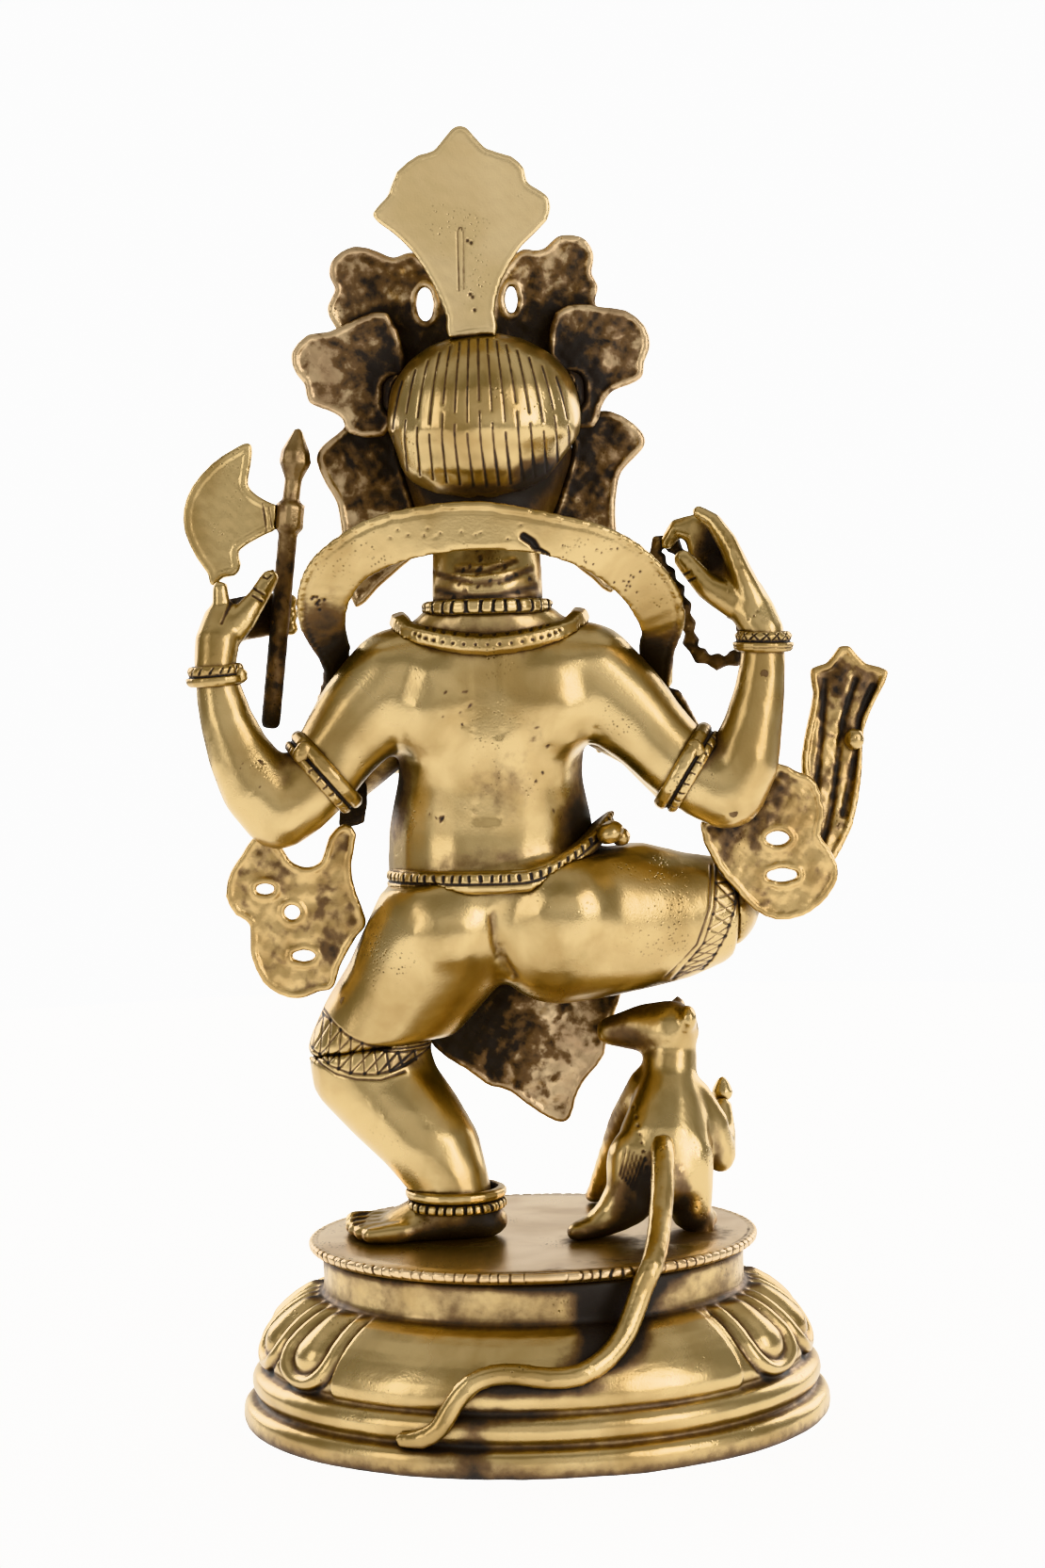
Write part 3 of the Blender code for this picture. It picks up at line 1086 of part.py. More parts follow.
def make_sashes(part):
    solids = [part[name] for name in ("torso", "hips", "left_forearm", "right_forearm", "front_left_arm",
                                      "front_right_arm")]
    left_bow = plate("left_sash_bow", LEFT_BOW, -2.0, SASH_PLATE,
                     [(66.8, 138.4, 2.8, 1.7), (60, 132.2, 2.4, 2.2), (57.4, 120.8, 3.4, 1.7)],
                     kind=ROUGH_BRASS)
    seat(left_bow, part["hips"], part["torso"])
    right_bow = plate("right_sash_bow", RIGHT_BOW, -3.0, SASH_PLATE,
                      [(-65.8, 148, 3.4, 2.0), (-66.8, 138.4, 4.5, 1.9)], kind=ROUGH_BRASS)
    seat(right_bow, part["hips"], part["right_forearm"], part["right_shin"])
    left_strap = ribbon(
        "left_sash_strap",
        [((54.4, -12.6, 182.6), (47.4, -14.6, 184.6)), ((56, -11.6, 172), (46, -13.4, 172.6)),
         ((47.6, -10.2, 162), (40.4, -11.6, 163.6)),
         ((47.4, -6.4, 153.4), (41.2, -7.2, 154.6))],
        SASH_PLATE * 0.8, 2, kind=DARK_BRASS,
    )
    seat(left_strap, *solids, part["shoulder_scarf"], left_bow)
    right_strap = ribbon(
        "right_sash_strap",
        [((-41.6, -11.8, 186), (-35, -14, 188)), ((-47, -13, 176), (-39, -15, 176)),
         ((-53, -10.6, 164), (-45, -12.4, 162)),
         ((-58, -7.0, 155), (-50, -8, 151))],
        SASH_PLATE * 0.8, 2, kind=DARK_BRASS,
    )
    seat(right_strap, *solids, part["shoulder_scarf"], right_bow)
    tail = ribbon(
        "right_sash_tail",
        [((-79.0, -7.4, 139.0), (-74.6, -7.4, 146.0)), ((-85.6, -10.6, 149.6), (-73.6, -10.6, 157)),
         ((-88.6, -13, 163), (-73.4, -13, 168.0)),
         ((-89.6, -15, 174.6), (-75.6, -15, 178.0)), ((-93.4, -16, 183.0), (-77.0, -16, 184.6)),
         ((-96.6, -17, 189.6), (-76.4, -17, 190.6)),
         ((-90.8, -17.2, 191.6), (-80.6, -17.2, 192.0)), ((-86.6, -17.4, 196.4), (-84.2, -17.4, 196.4))],
        SASH_PLATE, 2, kind=ROUGH_BRASS,
    )
    seat(tail, right_bow)
    flap = plate("loincloth_flap", FLAP, -20.0, FLAP_PLATE, kind=DARK_BRASS)
    seat(flap, part["hips"], part["left_shin"], part["right_shin"], part["right_foot"], part["rat_body"])
    return left_bow, right_bow, left_strap, right_strap, tail, flap


def make_plug(name, host, x, z, near):
    """A round plug in the core hole of a casting. It goes in from the back, flush with the skin."""
    start = figure_point(x, near, z)
    hit, place, normal, _ = host.ray_cast(start, Vector((0, -1, 0)))
    outer = place + Vector((0, 0.0002, 0))
    inner = place - Vector((0, PLUG_LENGTH, 0))
    hole = rod(inner - Vector((0, CLEARANCE, 0)), place + Vector((0, 0.004, 0)), PLUG_RADIUS + CLEARANCE,
               8)
    combine(host, hole, "DIFFERENCE")
    rod(inner, outer, PLUG_RADIUS, 8, name)


# ---------------------------------------------------------------- assembly


def build():
    clear_scene()
    base, deck = make_pedestal()
    part = {"torso": make_torso(), "hips": make_hips()}
    part["left_shin"], part["left_foot"] = make_left_leg()
    part["right_shin"], part["right_foot"] = make_right_leg()
    part["left_forearm"], part["right_forearm"] = make_forearms()
    part["left_hand"], part["right_hand"] = make_hands()
    part["head"] = make_head()
    for side, arm in zip(("left", "right"), make_front_arms()):
        part[f"front_{side}_arm"] = arm
        seat(arm, part["torso"])
    seat(part["right_foot"], part["hips"])
    part["rat_body"], _ = make_rat()
    seat(part["rat_body"], part["hips"], part["left_shin"], part["left_foot"], part["right_foot"])

    dowel(part["torso"], part["hips"], figure_point(*WAIST), WAIST_AXIS, 2 * PEG_RADIUS)
    dowel(part["head"], part["torso"], figure_point(*NECK), (0, 0, -1), 2 * PEG_RADIUS)
    dowel(part["left_forearm"], part["torso"], figure_point(*LEFT_ARM_JOINT), [-v for v in LEFT_ARM_AXIS])
    dowel(part["right_forearm"], part["torso"], figure_point(*RIGHT_ARM_JOINT),
          [-v for v in RIGHT_ARM_AXIS])
    dowel(part["left_hand"], part["left_forearm"], figure_point(*LEFT_WRIST),
          [-v for v in LEFT_WRIST_AXIS], WRIST_PEG_RADIUS)
    dowel(part["right_hand"], part["right_forearm"], figure_point(*RIGHT_WRIST),
          [-v for v in RIGHT_WRIST_AXIS], WRIST_PEG_RADIUS)
    dowel(part["left_shin"], part["hips"], figure_point(*LEFT_KNEE), [-v for v in LEFT_KNEE_AXIS])
    dowel(part["right_shin"], part["hips"], figure_point(*RIGHT_KNEE), [-v for v in RIGHT_KNEE_AXIS])
    dowel(part["left_foot"], part["left_shin"], figure_point(*LEFT_ANKLE), [-v for v in LEFT_ANKLE_AXIS])
    dowel(part["right_foot"], part["right_shin"], figure_point(*RIGHT_ANKLE),
          [-v for v in RIGHT_ANKLE_AXIS], WRIST_PEG_RADIUS)
    reach = DECK_THICKNESS + PEDESTAL_WALL + 0.0015
    tenon(part["left_foot"], [deck, base], figure_point(20, 3, 0).x, figure_point(20, 3, 0).y, reach)
    rat_foot = rat_point(-43.6, 3, 50)
    tenon(part["rat_body"], [deck, base], rat_foot.x, rat_foot.y, reach)

    part["hair_cap"], part["crown_band"] = make_head_dress(part["head"])
    make_crown_leaves(part["head"], part["hair_cap"], part["crown_band"])
    part["left_ear"], part["right_ear"] = make_ears(part["head"], part["hair_cap"], part["crown_band"])
    make_tusk(part["head"])
    beads = make_ornaments(part)
    collar = make_collar(part, beads)
    seat(part["front_left_arm"], collar)
    seat(part["front_right_arm"], collar)
    part["shoulder_scarf"] = make_scarf(part)
    make_axe(part["left_hand"])
    make_rosary(part["right_hand"], [part["shoulder_scarf"], part["right_forearm"]])
    make_offerings(part)
    make_sashes(part)
    make_rat_tail(part["rat_body"], base, deck)
    make_plug("thigh_plug", part["hips"], 47.2, 109.2, 40)
    make_plug("elbow_plug", part["right_forearm"], -53.6, 156.2, 40)
    make_plug("left_arm_plug", part["left_forearm"], 66.0, 172.0, 40)
    make_plug("right_arm_plug", part["right_forearm"], -62.2, 191.4, 40)


build()
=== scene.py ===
from math import cos, pi, radians, sin

import bpy
import numpy as np
from mathutils import Matrix, Vector
from mathutils.kdtree import KDTree


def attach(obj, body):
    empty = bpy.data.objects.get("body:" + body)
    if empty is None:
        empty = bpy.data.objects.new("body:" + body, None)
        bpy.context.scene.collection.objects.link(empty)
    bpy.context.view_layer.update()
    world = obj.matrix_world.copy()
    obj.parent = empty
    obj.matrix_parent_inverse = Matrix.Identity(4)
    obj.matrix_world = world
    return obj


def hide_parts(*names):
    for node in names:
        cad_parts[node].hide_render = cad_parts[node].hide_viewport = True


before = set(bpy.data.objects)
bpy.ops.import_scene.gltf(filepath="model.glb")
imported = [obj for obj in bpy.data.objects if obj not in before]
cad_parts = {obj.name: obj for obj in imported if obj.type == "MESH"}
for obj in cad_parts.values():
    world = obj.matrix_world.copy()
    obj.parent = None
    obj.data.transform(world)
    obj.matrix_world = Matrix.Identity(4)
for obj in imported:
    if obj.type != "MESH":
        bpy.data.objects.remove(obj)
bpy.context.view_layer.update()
mm = 0.001
chance = np.random.default_rng(7)
bpy.ops.object.select_all(action="DESELECT")


# studio

studio = {
    "cameraPlace": (-0.00035, 0.886, 0.236),  # metres
    "lookDown": 4.647,  # degrees
    "roll": -1.5,
    "lens": 79.4,
    "floorRadius": 0.8,
    "floorDrop": 0.0002,  # keeps the floor clear of the foot's underside
    "floorGlow": 0.7,
    "floorGlowSeen": 1.9,  # more of it for the camera, so that floor and backdrop run together
    "backdrop": 3,
    "sky": (0.62, 0.61, 0.60),
    "skyStrength": 0.62,
    "warm": (1.0, 0.985, 0.95),
    # each softbox: its place, the height it aims at, its width and height in metres, and its watts
    "softboxes": {
        "keyRight": ((-0.80, 0.75, 0.45), 0.17, (0.34, 0.60), 6.6),
        "keyLeft": ((0.90, 0.68, 0.42), 0.17, (0.40, 0.65), 2.5),
        "overhead": ((0, 0.10, 1.15), 0.15, (1.9, 0.9), 2.2),
        "backdrop": ((0, -1.7, 0.55), 0.12, (2.4, 0.9), 4.0),
        "behindCamera": ((0, 1.9, 0.75), 0.17, (1.8, 1.3), 4.0),
        "frontRight": ((-0.8, -0.8, 0.5), 0.17, (0.5, 0.7), 8),
        "frontLeft": ((0.8, -0.8, 0.5), 0.17, (0.5, 0.7), 8),
    },
}


def makeCamera():
    camera = bpy.data.objects.new("camera", bpy.data.cameras.new("camera"))
    bpy.context.collection.objects.link(camera)
    camera.data.lens = studio["lens"]
    camera.data.sensor_width = 36
    camera.data.clip_start = 0.05
    turn = Matrix.Rotation(pi, 4, "Z") @ Matrix.Rotation(radians(90 - studio["lookDown"]), 4, "X")
    turn = turn @ Matrix.Rotation(radians(studio["roll"]), 4, "Z")
    camera.matrix_world = Matrix.Translation(studio["cameraPlace"]) @ turn
    bpy.context.scene.camera = camera


def softbox(name, place, aimHeight, size, power):
    light = bpy.data.objects.new(name, bpy.data.lights.new(name, "AREA"))
    bpy.context.collection.objects.link(light)
    light.data.shape = "RECTANGLE"
    light.data.size, light.data.size_y = size
    light.data.energy = power
    light.data.color = studio["warm"]
    light.location = place
    light.rotation_euler = (Vector((0, 0, aimHeight)) - Vector(place)).to_track_quat("-Z", "Y").to_euler()
    light.visible_camera = False


def makeFloor():
    bpy.ops.mesh.primitive_circle_add(
        vertices=96, radius=studio["floorRadius"], fill_type="NGON", location=(0, 0, -studio["floorDrop"])
    )
    floor = bpy.context.object
    floor.name = "floor"
    bpy.ops.object.transform_apply(location=True, rotation=True, scale=True)
    paper = bpy.data.materials.new("paleFloor")
    paper.use_nodes = True
    nodes, links = paper.node_tree.nodes, paper.node_tree.links
    sheet = nodes["Principled BSDF"]
    sheet.inputs["Base Color"].default_value = (0.9, 0.9, 0.9, 1)
    sheet.inputs["Roughness"].default_value = 0.7
    sheet.inputs["Emission Color"].default_value = (1, 1, 1, 1)
    paths = nodes.new("ShaderNodeLightPath")
    glow = nodes.new("ShaderNodeMath")
    glow.operation = "MULTIPLY_ADD"
    glow.inputs[1].default_value = studio["floorGlowSeen"]
    glow.inputs[2].default_value = studio["floorGlow"]
    links.new(paths.outputs["Is Camera Ray"], glow.inputs[0])
    links.new(glow.outputs[0], sheet.inputs["Emission Strength"])
    floor.data.materials.append(paper)


def makeSky():
    # the camera sees a white backdrop, and the metal reflects a dimmer, soft grey room
    world = bpy.data.worlds.new("studio")
    bpy.context.scene.world = world
    world.use_nodes = True
    nodes, links = world.node_tree.nodes, world.node_tree.links
    paths = nodes.new("ShaderNodeLightPath")
    seen = nodes.new("ShaderNodeBackground")
    seen.inputs["Color"].default_value = (1, 1, 1, 1)
    seen.inputs["Strength"].default_value = studio["backdrop"]
    mix = nodes.new("ShaderNodeMixShader")
    sky = nodes["Background"]
    sky.inputs["Color"].default_value = (*studio["sky"], 1)
    sky.inputs["Strength"].default_value = studio["skyStrength"]
    links.new(paths.outputs["Is Camera Ray"], mix.inputs[0])
    links.new(sky.outputs[0], mix.inputs[1])
    links.new(seen.outputs[0], mix.inputs[2])
    links.new(mix.outputs[0], nodes["World Output"].inputs["Surface"])


makeCamera()
makeFloor()
makeSky()
for name, (place, aimHeight, size, power) in studio["softboxes"].items():
    softbox(name, place, aimHeight, size, power)
bpy.context.scene.view_settings.view_transform = "Khronos PBR Neutral"
bpy.context.scene.view_settings.look = "None"
print("studio ready")


# finishes

# reach is how far, in metres, the dark of a recess spreads, and the grime-and-shade setting how strong it
# is; that dark is partly patina and partly painted shade
# floorGrime darkens all of it, and uneven and fine break the dark up in large and small spots
polished = {
    "light": (0.55, 0.41, 0.205), "deep": (0.37, 0.255, 0.115), "brown": (0.17, 0.112, 0.07),
    "black": (0.030, 0.026, 0.024), "cloud": 48, "mottle": 420, "roughness": 0.29, "reach": 0.012,
    "grimeAndShade": 1.3, "floorGrime": 0.0, "uneven": 0.5, "fine": 0.45, "pit": 0.35, "scratch": 0.06,
    "edge": 0.20, "crust": 0.0,
}
engraved = dict(polished, roughness=0.31, grimeAndShade=1.7, reach=0.008, edge=0.40)
roughCast = dict(
    polished, light=(0.60, 0.45, 0.27), deep=(0.40, 0.28, 0.17), roughness=0.36, grimeAndShade=1.2, floorGrime=0.30,
    pit=0.4, edge=0.4, crust=0.8, cloud=95, mottle=360, uneven=2.2, fine=1.5,
)
platedCast = dict(
    roughCast, light=(0.56, 0.40, 0.19), deep=(0.38, 0.25, 0.11), floorGrime=0.14, crust=0.5, uneven=1.4,
    fine=0.9,
)
darkCast = dict(
    polished, light=(0.34, 0.24, 0.13), deep=(0.15, 0.10, 0.055), roughness=0.40, grimeAndShade=1.4, floorGrime=0.75,
    pit=0.5, edge=0.5, crust=0.7, uneven=1.8, fine=1.0,
)
# the plume's pale brass is partly its own pale satin and partly a painted reflection of the bright room its
# flat face shows
plume = dict(engraved, light=(0.70, 0.545, 0.31), deep=(0.62, 0.47, 0.25))
turned = dict(polished, cloud=38, roughness=0.28, grimeAndShade=1.2)
# the deck's pale, clean brass is partly its own polish and partly a painted reflection of the bright room
table = dict(polished, light=(0.74, 0.56, 0.34), deep=(0.56, 0.39, 0.21), roughness=0.30, grimeAndShade=0.35)


def brassFinish(name, look, slot):
    material = bpy.data.materials.new(name)
    material.use_nodes = True
    nodes, links = material.node_tree.nodes, material.node_tree.links
    shader = nodes["Principled BSDF"]

    def put(kind, **settings):
        node = nodes.new(kind)
        for key, value in settings.items():
            if hasattr(node, key):
                setattr(node, key, value)
            else:
                node.inputs[key.replace("_", " ")].default_value = value
        return node

    def maths(operation, first, second=None, clamp=False):
        node = put("ShaderNodeMath", operation=operation, use_clamp=clamp)
        for socket, value in zip(node.inputs, (first, second)):
            if isinstance(value, (int, float)):
                socket.default_value = value
            elif value is not None:
                links.new(value, socket)
        return node.outputs[0]

    def ramp(source, low, high):
        node = put("ShaderNodeMapRange", interpolation_type="SMOOTHSTEP")
        node.inputs["From Min"].default_value = low
        node.inputs["From Max"].default_value = high
        links.new(source, node.inputs["Value"])
        return node.outputs["Result"]

    def blend(share, first, second):
        node = put("ShaderNodeMix", data_type="RGBA")
        for socket, value in ((node.inputs[0], share), (node.inputs[6], first), (node.inputs[7], second)):
            if isinstance(value, tuple):
                socket.default_value = (*value, 1)
            else:
                links.new(value, socket)
        return node.outputs[2]

    place = put("ShaderNodeTexCoord").outputs["Object"]

    def noise(scale, detail=3, distortion=0.0):
        node = put("ShaderNodeTexNoise", Scale=scale, Detail=detail, Distortion=distortion)
        links.new(place, node.inputs["Vector"])
        return node.outputs["Fac"]

    clouds = noise(look["cloud"], 4, 0.4)
    mottle = noise(look["mottle"], 4)
    patches = noise(130, 5, 0.8)
    # ambient occlusion paints recesses and gaps between pieces darker: partly patina, partly painted shade
    hollow = put("ShaderNodeAmbientOcclusion", samples=8)
    hollow.inputs["Distance"].default_value = look["reach"]
    shade = maths("SUBTRACT", 1.0, hollow.outputs["AO"])
    stainAndShade = put("ShaderNodeAttribute", attribute_name="stainAndShade").outputs["Fac"]
    curve = put("ShaderNodeNewGeometry").outputs["Pointiness"]
    bulge = ramp(curve, 0.51, 0.56)
    uneven = maths("MULTIPLY", maths("SUBTRACT", patches, 0.5), look["uneven"])
    fine = maths("MULTIPLY", maths("SUBTRACT", mottle, 0.5), look["fine"])
    grimeAndShade = maths("MULTIPLY", shade, look["grimeAndShade"])
    grimeAndShade = maths("ADD", maths("ADD", grimeAndShade, stainAndShade), look["floorGrime"])
    grimeAndShade = maths("ADD", maths("ADD", grimeAndShade, uneven), fine)
    grimeAndShade = maths("SUBTRACT", grimeAndShade, maths("MULTIPLY", bulge, look["edge"]))
    brownShare = ramp(grimeAndShade, 0.28, 0.72)
    blackShare = ramp(grimeAndShade, 0.70, 1.15)

    pits = put("ShaderNodeTexVoronoi", Scale=900.0)
    links.new(place, pits.inputs["Vector"])
    pitMask = ramp(noise(70, 3), 0.62 - 0.16 * look["pit"], 0.80 - 0.16 * look["pit"])
    pit = maths("MULTIPLY", ramp(pits.outputs["Distance"], 0.34, 0.12), pitMask)

    metal = blend(ramp(clouds, 0.35, 0.70), look["light"], look["deep"])
    metal = blend(brownShare, metal, look["brown"])
    metal = blend(blackShare, metal, look["black"])
    metal = blend(maths("MULTIPLY", pit, 0.75), metal, look["black"])
    links.new(metal, shader.inputs["Base Color"])
    links.new(maths("SUBTRACT", 1.0, maths("MULTIPLY", blackShare, 0.7)), shader.inputs["Metallic"])
    rough = maths("ADD", look["roughness"], maths("MULTIPLY", brownShare, 0.22))
    rough = maths("ADD", rough, maths("MULTIPLY", maths("SUBTRACT", clouds, 0.5), 0.16))
    rough = maths("ADD", rough, maths("MULTIPLY", blackShare, 0.12), clamp=True)
    links.new(rough, shader.inputs["Roughness"])

    height = maths("MULTIPLY", pit, -1.0)
    if look["crust"]:
        height = maths("ADD", height, maths("MULTIPLY", noise(520, 6), 1.6 * look["crust"]))
    height = maths("ADD", height, maths("MULTIPLY", noise(1500, 2), look["scratch"] * 4))
    bump = put("ShaderNodeBump", Strength=0.35, Distance=0.0004)
    links.new(height, bump.inputs["Height"])
    links.new(bump.outputs["Normal"], shader.inputs["Normal"])
    material["slot"] = slot
    return material


finishes = {
    "polished": brassFinish("polishedBrass", polished, "polished_body"),
    "engraved": brassFinish("engravedBrass", engraved, "ornament"),
    "roughCast": brassFinish("roughCastBrass", roughCast, "rough_cast"),
    "platedCast": brassFinish("platedCastBrass", platedCast, "rough_cast"),
    "darkCast": brassFinish("darkCastBrass", darkCast, "dark_brass"),
    "pedestal": brassFinish("pedestalBrass", turned, "pedestal"),
    "plume": brassFinish("plumeBrass", plume, "ornament"),
    "deck": brassFinish("deckBrass", table, "pedestal"),
}
print("finishes ready")


# making a piece


def choose(piece):
    bpy.ops.object.select_all(action="DESELECT")
    piece.select_set(True)
    bpy.context.view_layer.objects.active = piece


def applyModifiers(piece):
    choose(piece)
    for modifier in list(piece.modifiers):
        bpy.ops.object.modifier_apply(modifier=modifier.name)


def castingFrom(nodes, look):
    # a fine, rounded skin over the plain castings: even grain first, then smoothing that keeps its volume
    bpy.ops.object.select_all(action="DESELECT")
    for node in nodes:
        piece = bpy.data.objects.new(node + "_cast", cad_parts[node].data.copy())
        bpy.context.collection.objects.link(piece)
        piece.select_set(True)
        bpy.context.view_layer.objects.active = piece
    if len(nodes) > 1:
        bpy.ops.object.join()
    piece = bpy.context.view_layer.objects.active
    bpy.ops.object.mode_set(mode="EDIT")
    bpy.ops.mesh.select_all(action="SELECT")
    bpy.ops.mesh.remove_doubles(threshold=0.00001)
    bpy.ops.object.mode_set(mode="OBJECT")
    piece.data.materials.clear()
    if len(nodes) > 1:
        close = piece.modifiers.new("close", "REMESH")
        close.mode = "VOXEL"
        close.voxel_size = 0.0005
        fill = piece.modifiers.new("fill", "DISPLACE")
        fill.strength = 0.0004
        fill.mid_level = 0
    skin = piece.modifiers.new("skin", "REMESH")
    skin.mode = "VOXEL"
    skin.voxel_size = look["grain"] * mm
    for amount in (0.5, -0.5) * look.get("rounds", 1):
        rub = piece.modifiers.new("rub", "SMOOTH")
        rub.factor = amount
        rub.iterations = look.get("rub", 12)
    finer = piece.modifiers.new("finer", "SUBSURF")
    finer.levels = finer.render_levels = look.get("levels", 1)
    applyModifiers(piece)
    bpy.ops.object.shade_smooth()
    points, normals = pointsOf(piece), normalsOf(piece)
    movePoints(piece, points + normals * look.get("swell", 0.3))
    addStainAndShade(piece)
    return piece


# one value a point that darkens or lightens the brass: real stains and patina, and also painted shade and
# painted highlights
def addStainAndShade(piece):
    piece.data.attributes.new("stainAndShade", "FLOAT", "POINT")


def pointsOf(piece):
    points = np.empty(len(piece.data.vertices) * 3, np.float32)
    piece.data.vertices.foreach_get("co", points)
    return points.reshape(-1, 3) / mm


def normalsOf(piece):
    normals = np.empty(len(piece.data.vertices) * 3, np.float32)
    piece.data.vertex_normals.foreach_get("vector", normals)
    return normals.reshape(-1, 3)


def movePoints(piece, points):
    piece.data.vertices.foreach_set("co", (points * mm).astype(np.float32).ravel())
    piece.data.update()


def addToStainAndShade(piece, amounts):
    values = np.empty(len(piece.data.vertices), np.float32)
    piece.data.attributes["stainAndShade"].data.foreach_get("value", values)
    values = np.clip(values + amounts, -1.5, 1.5).astype(np.float32)
    piece.data.attributes["stainAndShade"].data.foreach_set("value", values)


def lineDistance(points, lines):
    # distance in mm from flat points to the nearest of several polylines
    nearest = np.full(len(points), 9.0)
    for line in lines:
        for start, end in zip(line, line[1:]):
            start, end = np.array(start, float), np.array(end, float)
            low, high = np.minimum(start, end) - 3, np.maximum(start, end) + 3
            near = np.nonzero(((points > low) & (points < high)).all(axis=1))[0]
            if not len(near):
                continue
            along = end - start
            share = ((points[near] - start) @ along / max(along @ along, 1e-9)).clip(0, 1)
            gap = np.linalg.norm(points[near] - start - share[:, None] * along, axis=1)
            nearest[near] = np.minimum(nearest[near], gap)
    return nearest


def carve(piece, lines, width, depth, stainAndShade, side=1):
    # cuts lines, given as (x, z) in mm, into the back of a piece, or into its front where side is -1
    points, normals = pointsOf(piece), normalsOf(piece)
    gap = lineDistance(points[:, [0, 2]], lines)
    cut = np.exp(-((gap / (0.55 * width)) ** 2)) * (normals[:, 1] * side > 0.08)
    movePoints(piece, points - normals * (depth * cut)[:, None])
    addToStainAndShade(piece, stainAndShade * cut)


def press(piece, spots, radius, depth, stainAndShade):
    # punches round dents into the back of a piece, at (x, z) spots in mm
    points, normals = pointsOf(piece), normalsOf(piece)
    dent = np.zeros(len(points))
    for x, z in spots:
        gap = np.hypot(points[:, 0] - x, points[:, 2] - z) / radius
        dent = np.maximum(dent, np.clip(1.3 - gap, 0, 1))
    dent *= normals[:, 1] > 0.08
    movePoints(piece, points - normals * (depth * dent)[:, None])
    addToStainAndShade(piece, stainAndShade * dent)


def patch(piece, centre, size, amount):
    # a soft dark patch, or a clean one where amount is below zero
    points = pointsOf(piece)
    gap = np.linalg.norm((points - np.array(centre)) / np.array(size), axis=1)
    addToStainAndShade(piece, amount * np.clip(1.4 - gap, 0, 1))


def roll(piece, look):
    # a plate's thick rolled rim, with the field inside it sunk and uneven
    points, normals = pointsOf(piece), normalsOf(piece)
    walls = np.nonzero(np.abs(normals[:, 1]) < 0.45)[0]
    tree = KDTree(len(walls))
    for index in walls:
        tree.insert((points[index, 0], 0, points[index, 2]), int(index))
    tree.balance()
    inward = np.array([tree.find((x, 0, z))[2] for x, _, z in points])
    field = ((inward - look["rim"] * 0.55) / (look["rim"] * 0.5)).clip(0, 1)
    field = field * field * (3 - 2 * field)
    lumps = wobble(points, look["lump"]) * look["rough"]
    away = normals * ((-look["sunk"] + lumps) * field)[:, None]
    movePoints(piece, points + away)
    addToStainAndShade(piece, look["stainAndShade"] * field - look["rimClean"] * (1 - field))


def wobble(points, size, octaves=3):
    # smooth made-up unevenness between -1 and 1, from a few crossed waves
    total = np.zeros(len(points))
    for octave in range(octaves):
        turn = np.random.default_rng(octave + 3).normal(size=(6, 3))
        turn /= np.linalg.norm(turn, axis=1)[:, None]
        shift = np.random.default_rng(octave + 11).uniform(0, 6.28, 6)
        waves = np.sin(points @ turn.T * (6.28 / size * 1.9**octave) + shift)
        total += waves.mean(axis=1) * 0.75**octave
    return total


def smooth(value, low, high):
    share = ((value - low) / (high - low)).clip(0, 1)
    return share * share * (3 - 2 * share)


def refine(piece, centre, size):
    # cuts the faces of one area finer, so that engraved lines come out crisp
    middles = np.empty(len(piece.data.polygons) * 3, np.float32)
    piece.data.polygons.foreach_get("center", middles)
    away = np.linalg.norm((middles.reshape(-1, 3) / mm - np.array(centre)) / np.array(size), axis=1)
    choose(piece)
    bpy.ops.object.mode_set(mode="EDIT")
    bpy.ops.mesh.select_mode(type="FACE")
    bpy.ops.mesh.select_all(action="DESELECT")
    bpy.ops.object.mode_set(mode="OBJECT")
    piece.data.polygons.foreach_set("select", away < 1)
    bpy.ops.object.mode_set(mode="EDIT")
    bpy.ops.mesh.subdivide(number_cuts=2)
    bpy.ops.mesh.select_mode(type="VERT")
    bpy.ops.object.mode_set(mode="OBJECT")


def ringMarks(piece, look):
    # works a band round its own axis: upright notches and rings round it, all darkened by their depth
    points, normals = pointsOf(piece), normalsOf(piece)
    axis = np.array(look["axis"], float)
    axis /= np.linalg.norm(axis)
    across = np.cross(axis, (0.0, 1.0, 0.0))
    across /= np.linalg.norm(across)
    deep = np.cross(axis, across)
    arm = points - np.array(look["middle"], float)
    level = arm @ axis
    side, far = arm @ across, arm @ deep
    reach = np.hypot(side, far).clip(0.1)
    angle = np.arctan2(side, far)
    out = (normals @ across * side + normals @ deep * far) / reach
    facing = smooth(out, 0.0, 0.5)
    cut = np.zeros(len(points))
    for low, high, count, width, depth, slant in look.get("notches", ()):
        pitch = 2 * pi / count
        turned = angle + slant * level / reach + 0.35 * pitch * wobble(points, 9, 1)
        gap = np.abs(turned / pitch - np.round(turned / pitch)) * pitch * reach
        inside = smooth(level, low - 0.25, low + 0.25) * (1 - smooth(level, high - 0.25, high + 0.25))
        cut = np.maximum(cut, depth * np.exp(-((gap / (0.5 * width)) ** 2)) * inside)
    for place, width, depth in look.get("rings", ()):
        cut = np.maximum(cut, depth * np.exp(-(((level - place) / (0.5 * width)) ** 2)))
    cut *= facing
    movePoints(piece, points - normals * cut[:, None])
    addToStainAndShade(piece, cut * 2.6)


def settle(piece, nodes, finish):
    piece.data.materials.append(finishes[finish])
    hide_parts(*nodes)
    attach(piece, "root")


# body

